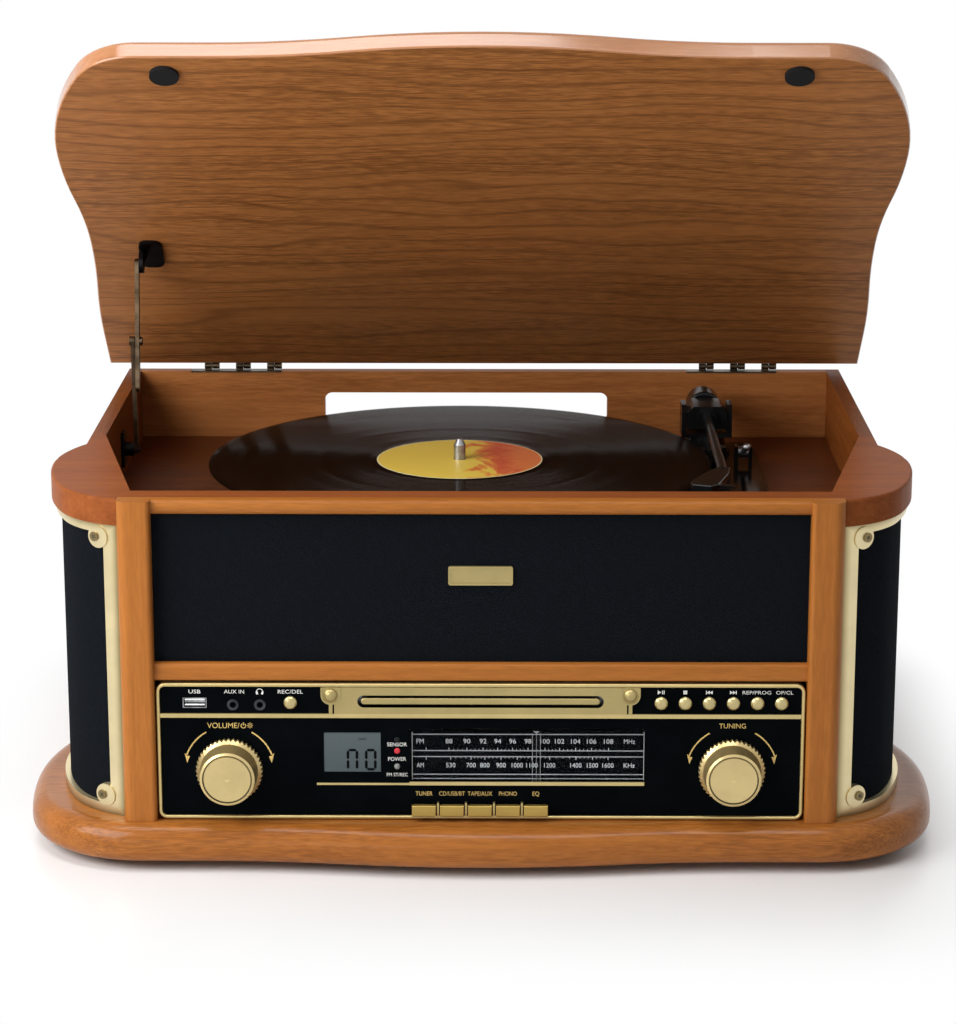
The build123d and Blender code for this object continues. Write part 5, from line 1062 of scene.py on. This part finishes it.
def studio_paper():
    """Pale paper near the object that gives way to white farther out."""
    shader = Shader("studio_floor", rgb(238, 238, 238), 0.32, **{"Specular IOR Level": 0.6})
    cloud = shader.noise(shader.mapping(), 3.0, 3.0)
    shader.paint(shader.ramp(cloud, (0.3, rgb(235, 235, 235)), (0.7, rgb(241, 241, 241))))
    x, y, _ = shader.axes()
    beside, before = [
        shader.math("MAXIMUM", shader.math("SUBTRACT", shader.math("ABSOLUTE", way), half), 0.0)
        for way, half in ((x, floor_half_x), (y, floor_half_y))]
    fade = shader.add("ShaderNodeMapRange", interpolation_type="SMOOTHSTEP")
    fade.inputs["From Min"].default_value = fade_start
    fade.inputs["From Max"].default_value = fade_end
    shader.link(shader.radius(beside, shader.math("MULTIPLY", before, front_reach)),
                fade.inputs["Value"])
    rays = shader.add("ShaderNodeLightPath")
    seen = shader.math("MAXIMUM", rays.outputs["Is Camera Ray"],
                       shader.math("MAXIMUM", rays.outputs["Is Glossy Ray"],
                                   rays.outputs["Is Transmission Ray"]))
    white = shader.add("ShaderNodeEmission")
    white.inputs["Color"].default_value = WHITE
    white.inputs["Strength"].default_value = 1.0
    blend = shader.add("ShaderNodeMixShader")
    shader.feed((shader.math("MULTIPLY", seen, fade.outputs["Result"]), shader.surface.outputs[0],
                 white.outputs[0]), blend.inputs)
    shader.link(blend.outputs[0], shader.tree.nodes["Material Output"].inputs["Surface"])
    return shader


# %% Floor
floor_mesh = bpy.data.meshes.new("studio_floor")
build = bmesh.new()
bmesh.ops.create_grid(build, x_segments=8, y_segments=8, size=8.0)
build.to_mesh(floor_mesh)
build.free()
floor_mesh.materials.append(studio_paper().material)
floor = bpy.data.objects.new("studio_floor", floor_mesh)
bpy.context.scene.collection.objects.link(floor)
print("floor laid")

# %% [markdown]
# The world is white to the camera, to mirrors and to glass, so gold and gloss have something
# bright to show. Its light on matt surfaces is far weaker, or it would wash out the shadows.

# %% World
matt_light = 0.19
world = bpy.data.worlds.new("studio")
bpy.context.scene.world = world
world.use_nodes = True
tree = world.node_tree
background = tree.nodes["Background"]
background.inputs["Color"].default_value = WHITE
rays = tree.nodes.new("ShaderNodeLightPath")
total = None
for kind in ("Is Camera Ray", "Is Glossy Ray", "Is Transmission Ray"):
    seen = tree.nodes.new("ShaderNodeMath")
    seen.operation = "MAXIMUM"
    tree.links.new(rays.outputs[kind], seen.inputs[0])
    if total is None:
        seen.inputs[1].default_value = 0.0
    else:
        tree.links.new(total, seen.inputs[1])
    total = seen.outputs[0]
level = tree.nodes.new("ShaderNodeMapRange")
level.inputs["To Min"].default_value = matt_light
level.inputs["To Max"].default_value = 1.0
tree.links.new(total, level.inputs["Value"])
tree.links.new(level.outputs["Result"], background.inputs["Strength"])
print("world ready")

# %% [markdown]
# Five broad lamps make soft light. The key lamp is near on the left and a strip hangs above; a
# weak fill and a low front lamp open the shadows; the back lamp makes the lid's edge shine. Small
# bright lamps would give hard shadows and burnt spots on the gold.

# %% Lamps
def lamp_panel(name, place, target, size, power):
    """A rectangular area lamp that looks at a target."""
    light = bpy.data.lights.new(name, "AREA")
    light.shape = "RECTANGLE"
    light.size, light.size_y = size
    light.energy = power
    holder = bpy.data.objects.new(name, light)
    bpy.context.scene.collection.objects.link(holder)
    turn = (Vector(target) - Vector(place)).to_track_quat("-Z", "Y")
    holder.matrix_world = Matrix.Translation(place) @ turn.to_matrix().to_4x4()


lamp_panel("key_lamp", (-0.84, -0.66, 0.72), (0, 0, 0.20), (0.8, 0.7), 14.0)
lamp_panel("fill_lamp", (1.3, -1.4, 0.9), (0, 0, 0.15), (1.2, 1.0), 0.4)
lamp_panel("strip_lamp", (-0.2, -0.45, 1.9), (0, -0.1, 0.1), (1.6, 0.5), 14)
lamp_panel("front_lamp", (-1.1, -2.0, 0.35), (0, 0, 0.25), (1.6, 0.5), 4)
lamp_panel("back_lamp", (0.3, 1.7, 1.0), (0, 0.1, 0.3), (2.8, 0.5), 2.8)
print("lamps ready")

# %% [markdown]
# A long lens looks down a little from in front, as a catalogue camera does: a short one would
# stretch the near edge of the plinth. Its axis is turned by a fraction of a degree.

# %% Camera
film_height = 36.0
camera_place = (0.0096, -1.7806, 0.6224)
turned, looks_down = 0.39, 14.5
camera_data = bpy.data.cameras.new("camera")
camera_data.sensor_fit = "VERTICAL"
camera_data.sensor_height = film_height
camera_data.lens = 107.6484375
camera_data.clip_start = 0.05
camera_data.clip_end = 50
camera = bpy.data.objects.new("camera", camera_data)
bpy.context.scene.collection.objects.link(camera)
camera.matrix_world = (Matrix.Translation(camera_place) @ Matrix.Rotation(radians(turned), 4, "Z")
                       @ Matrix.Rotation(radians(90 - looks_down), 4, "X"))
bpy.context.scene.camera = camera
bpy.context.scene.view_settings.view_transform = "Standard"
print("lens:", camera_data.lens, "mm")
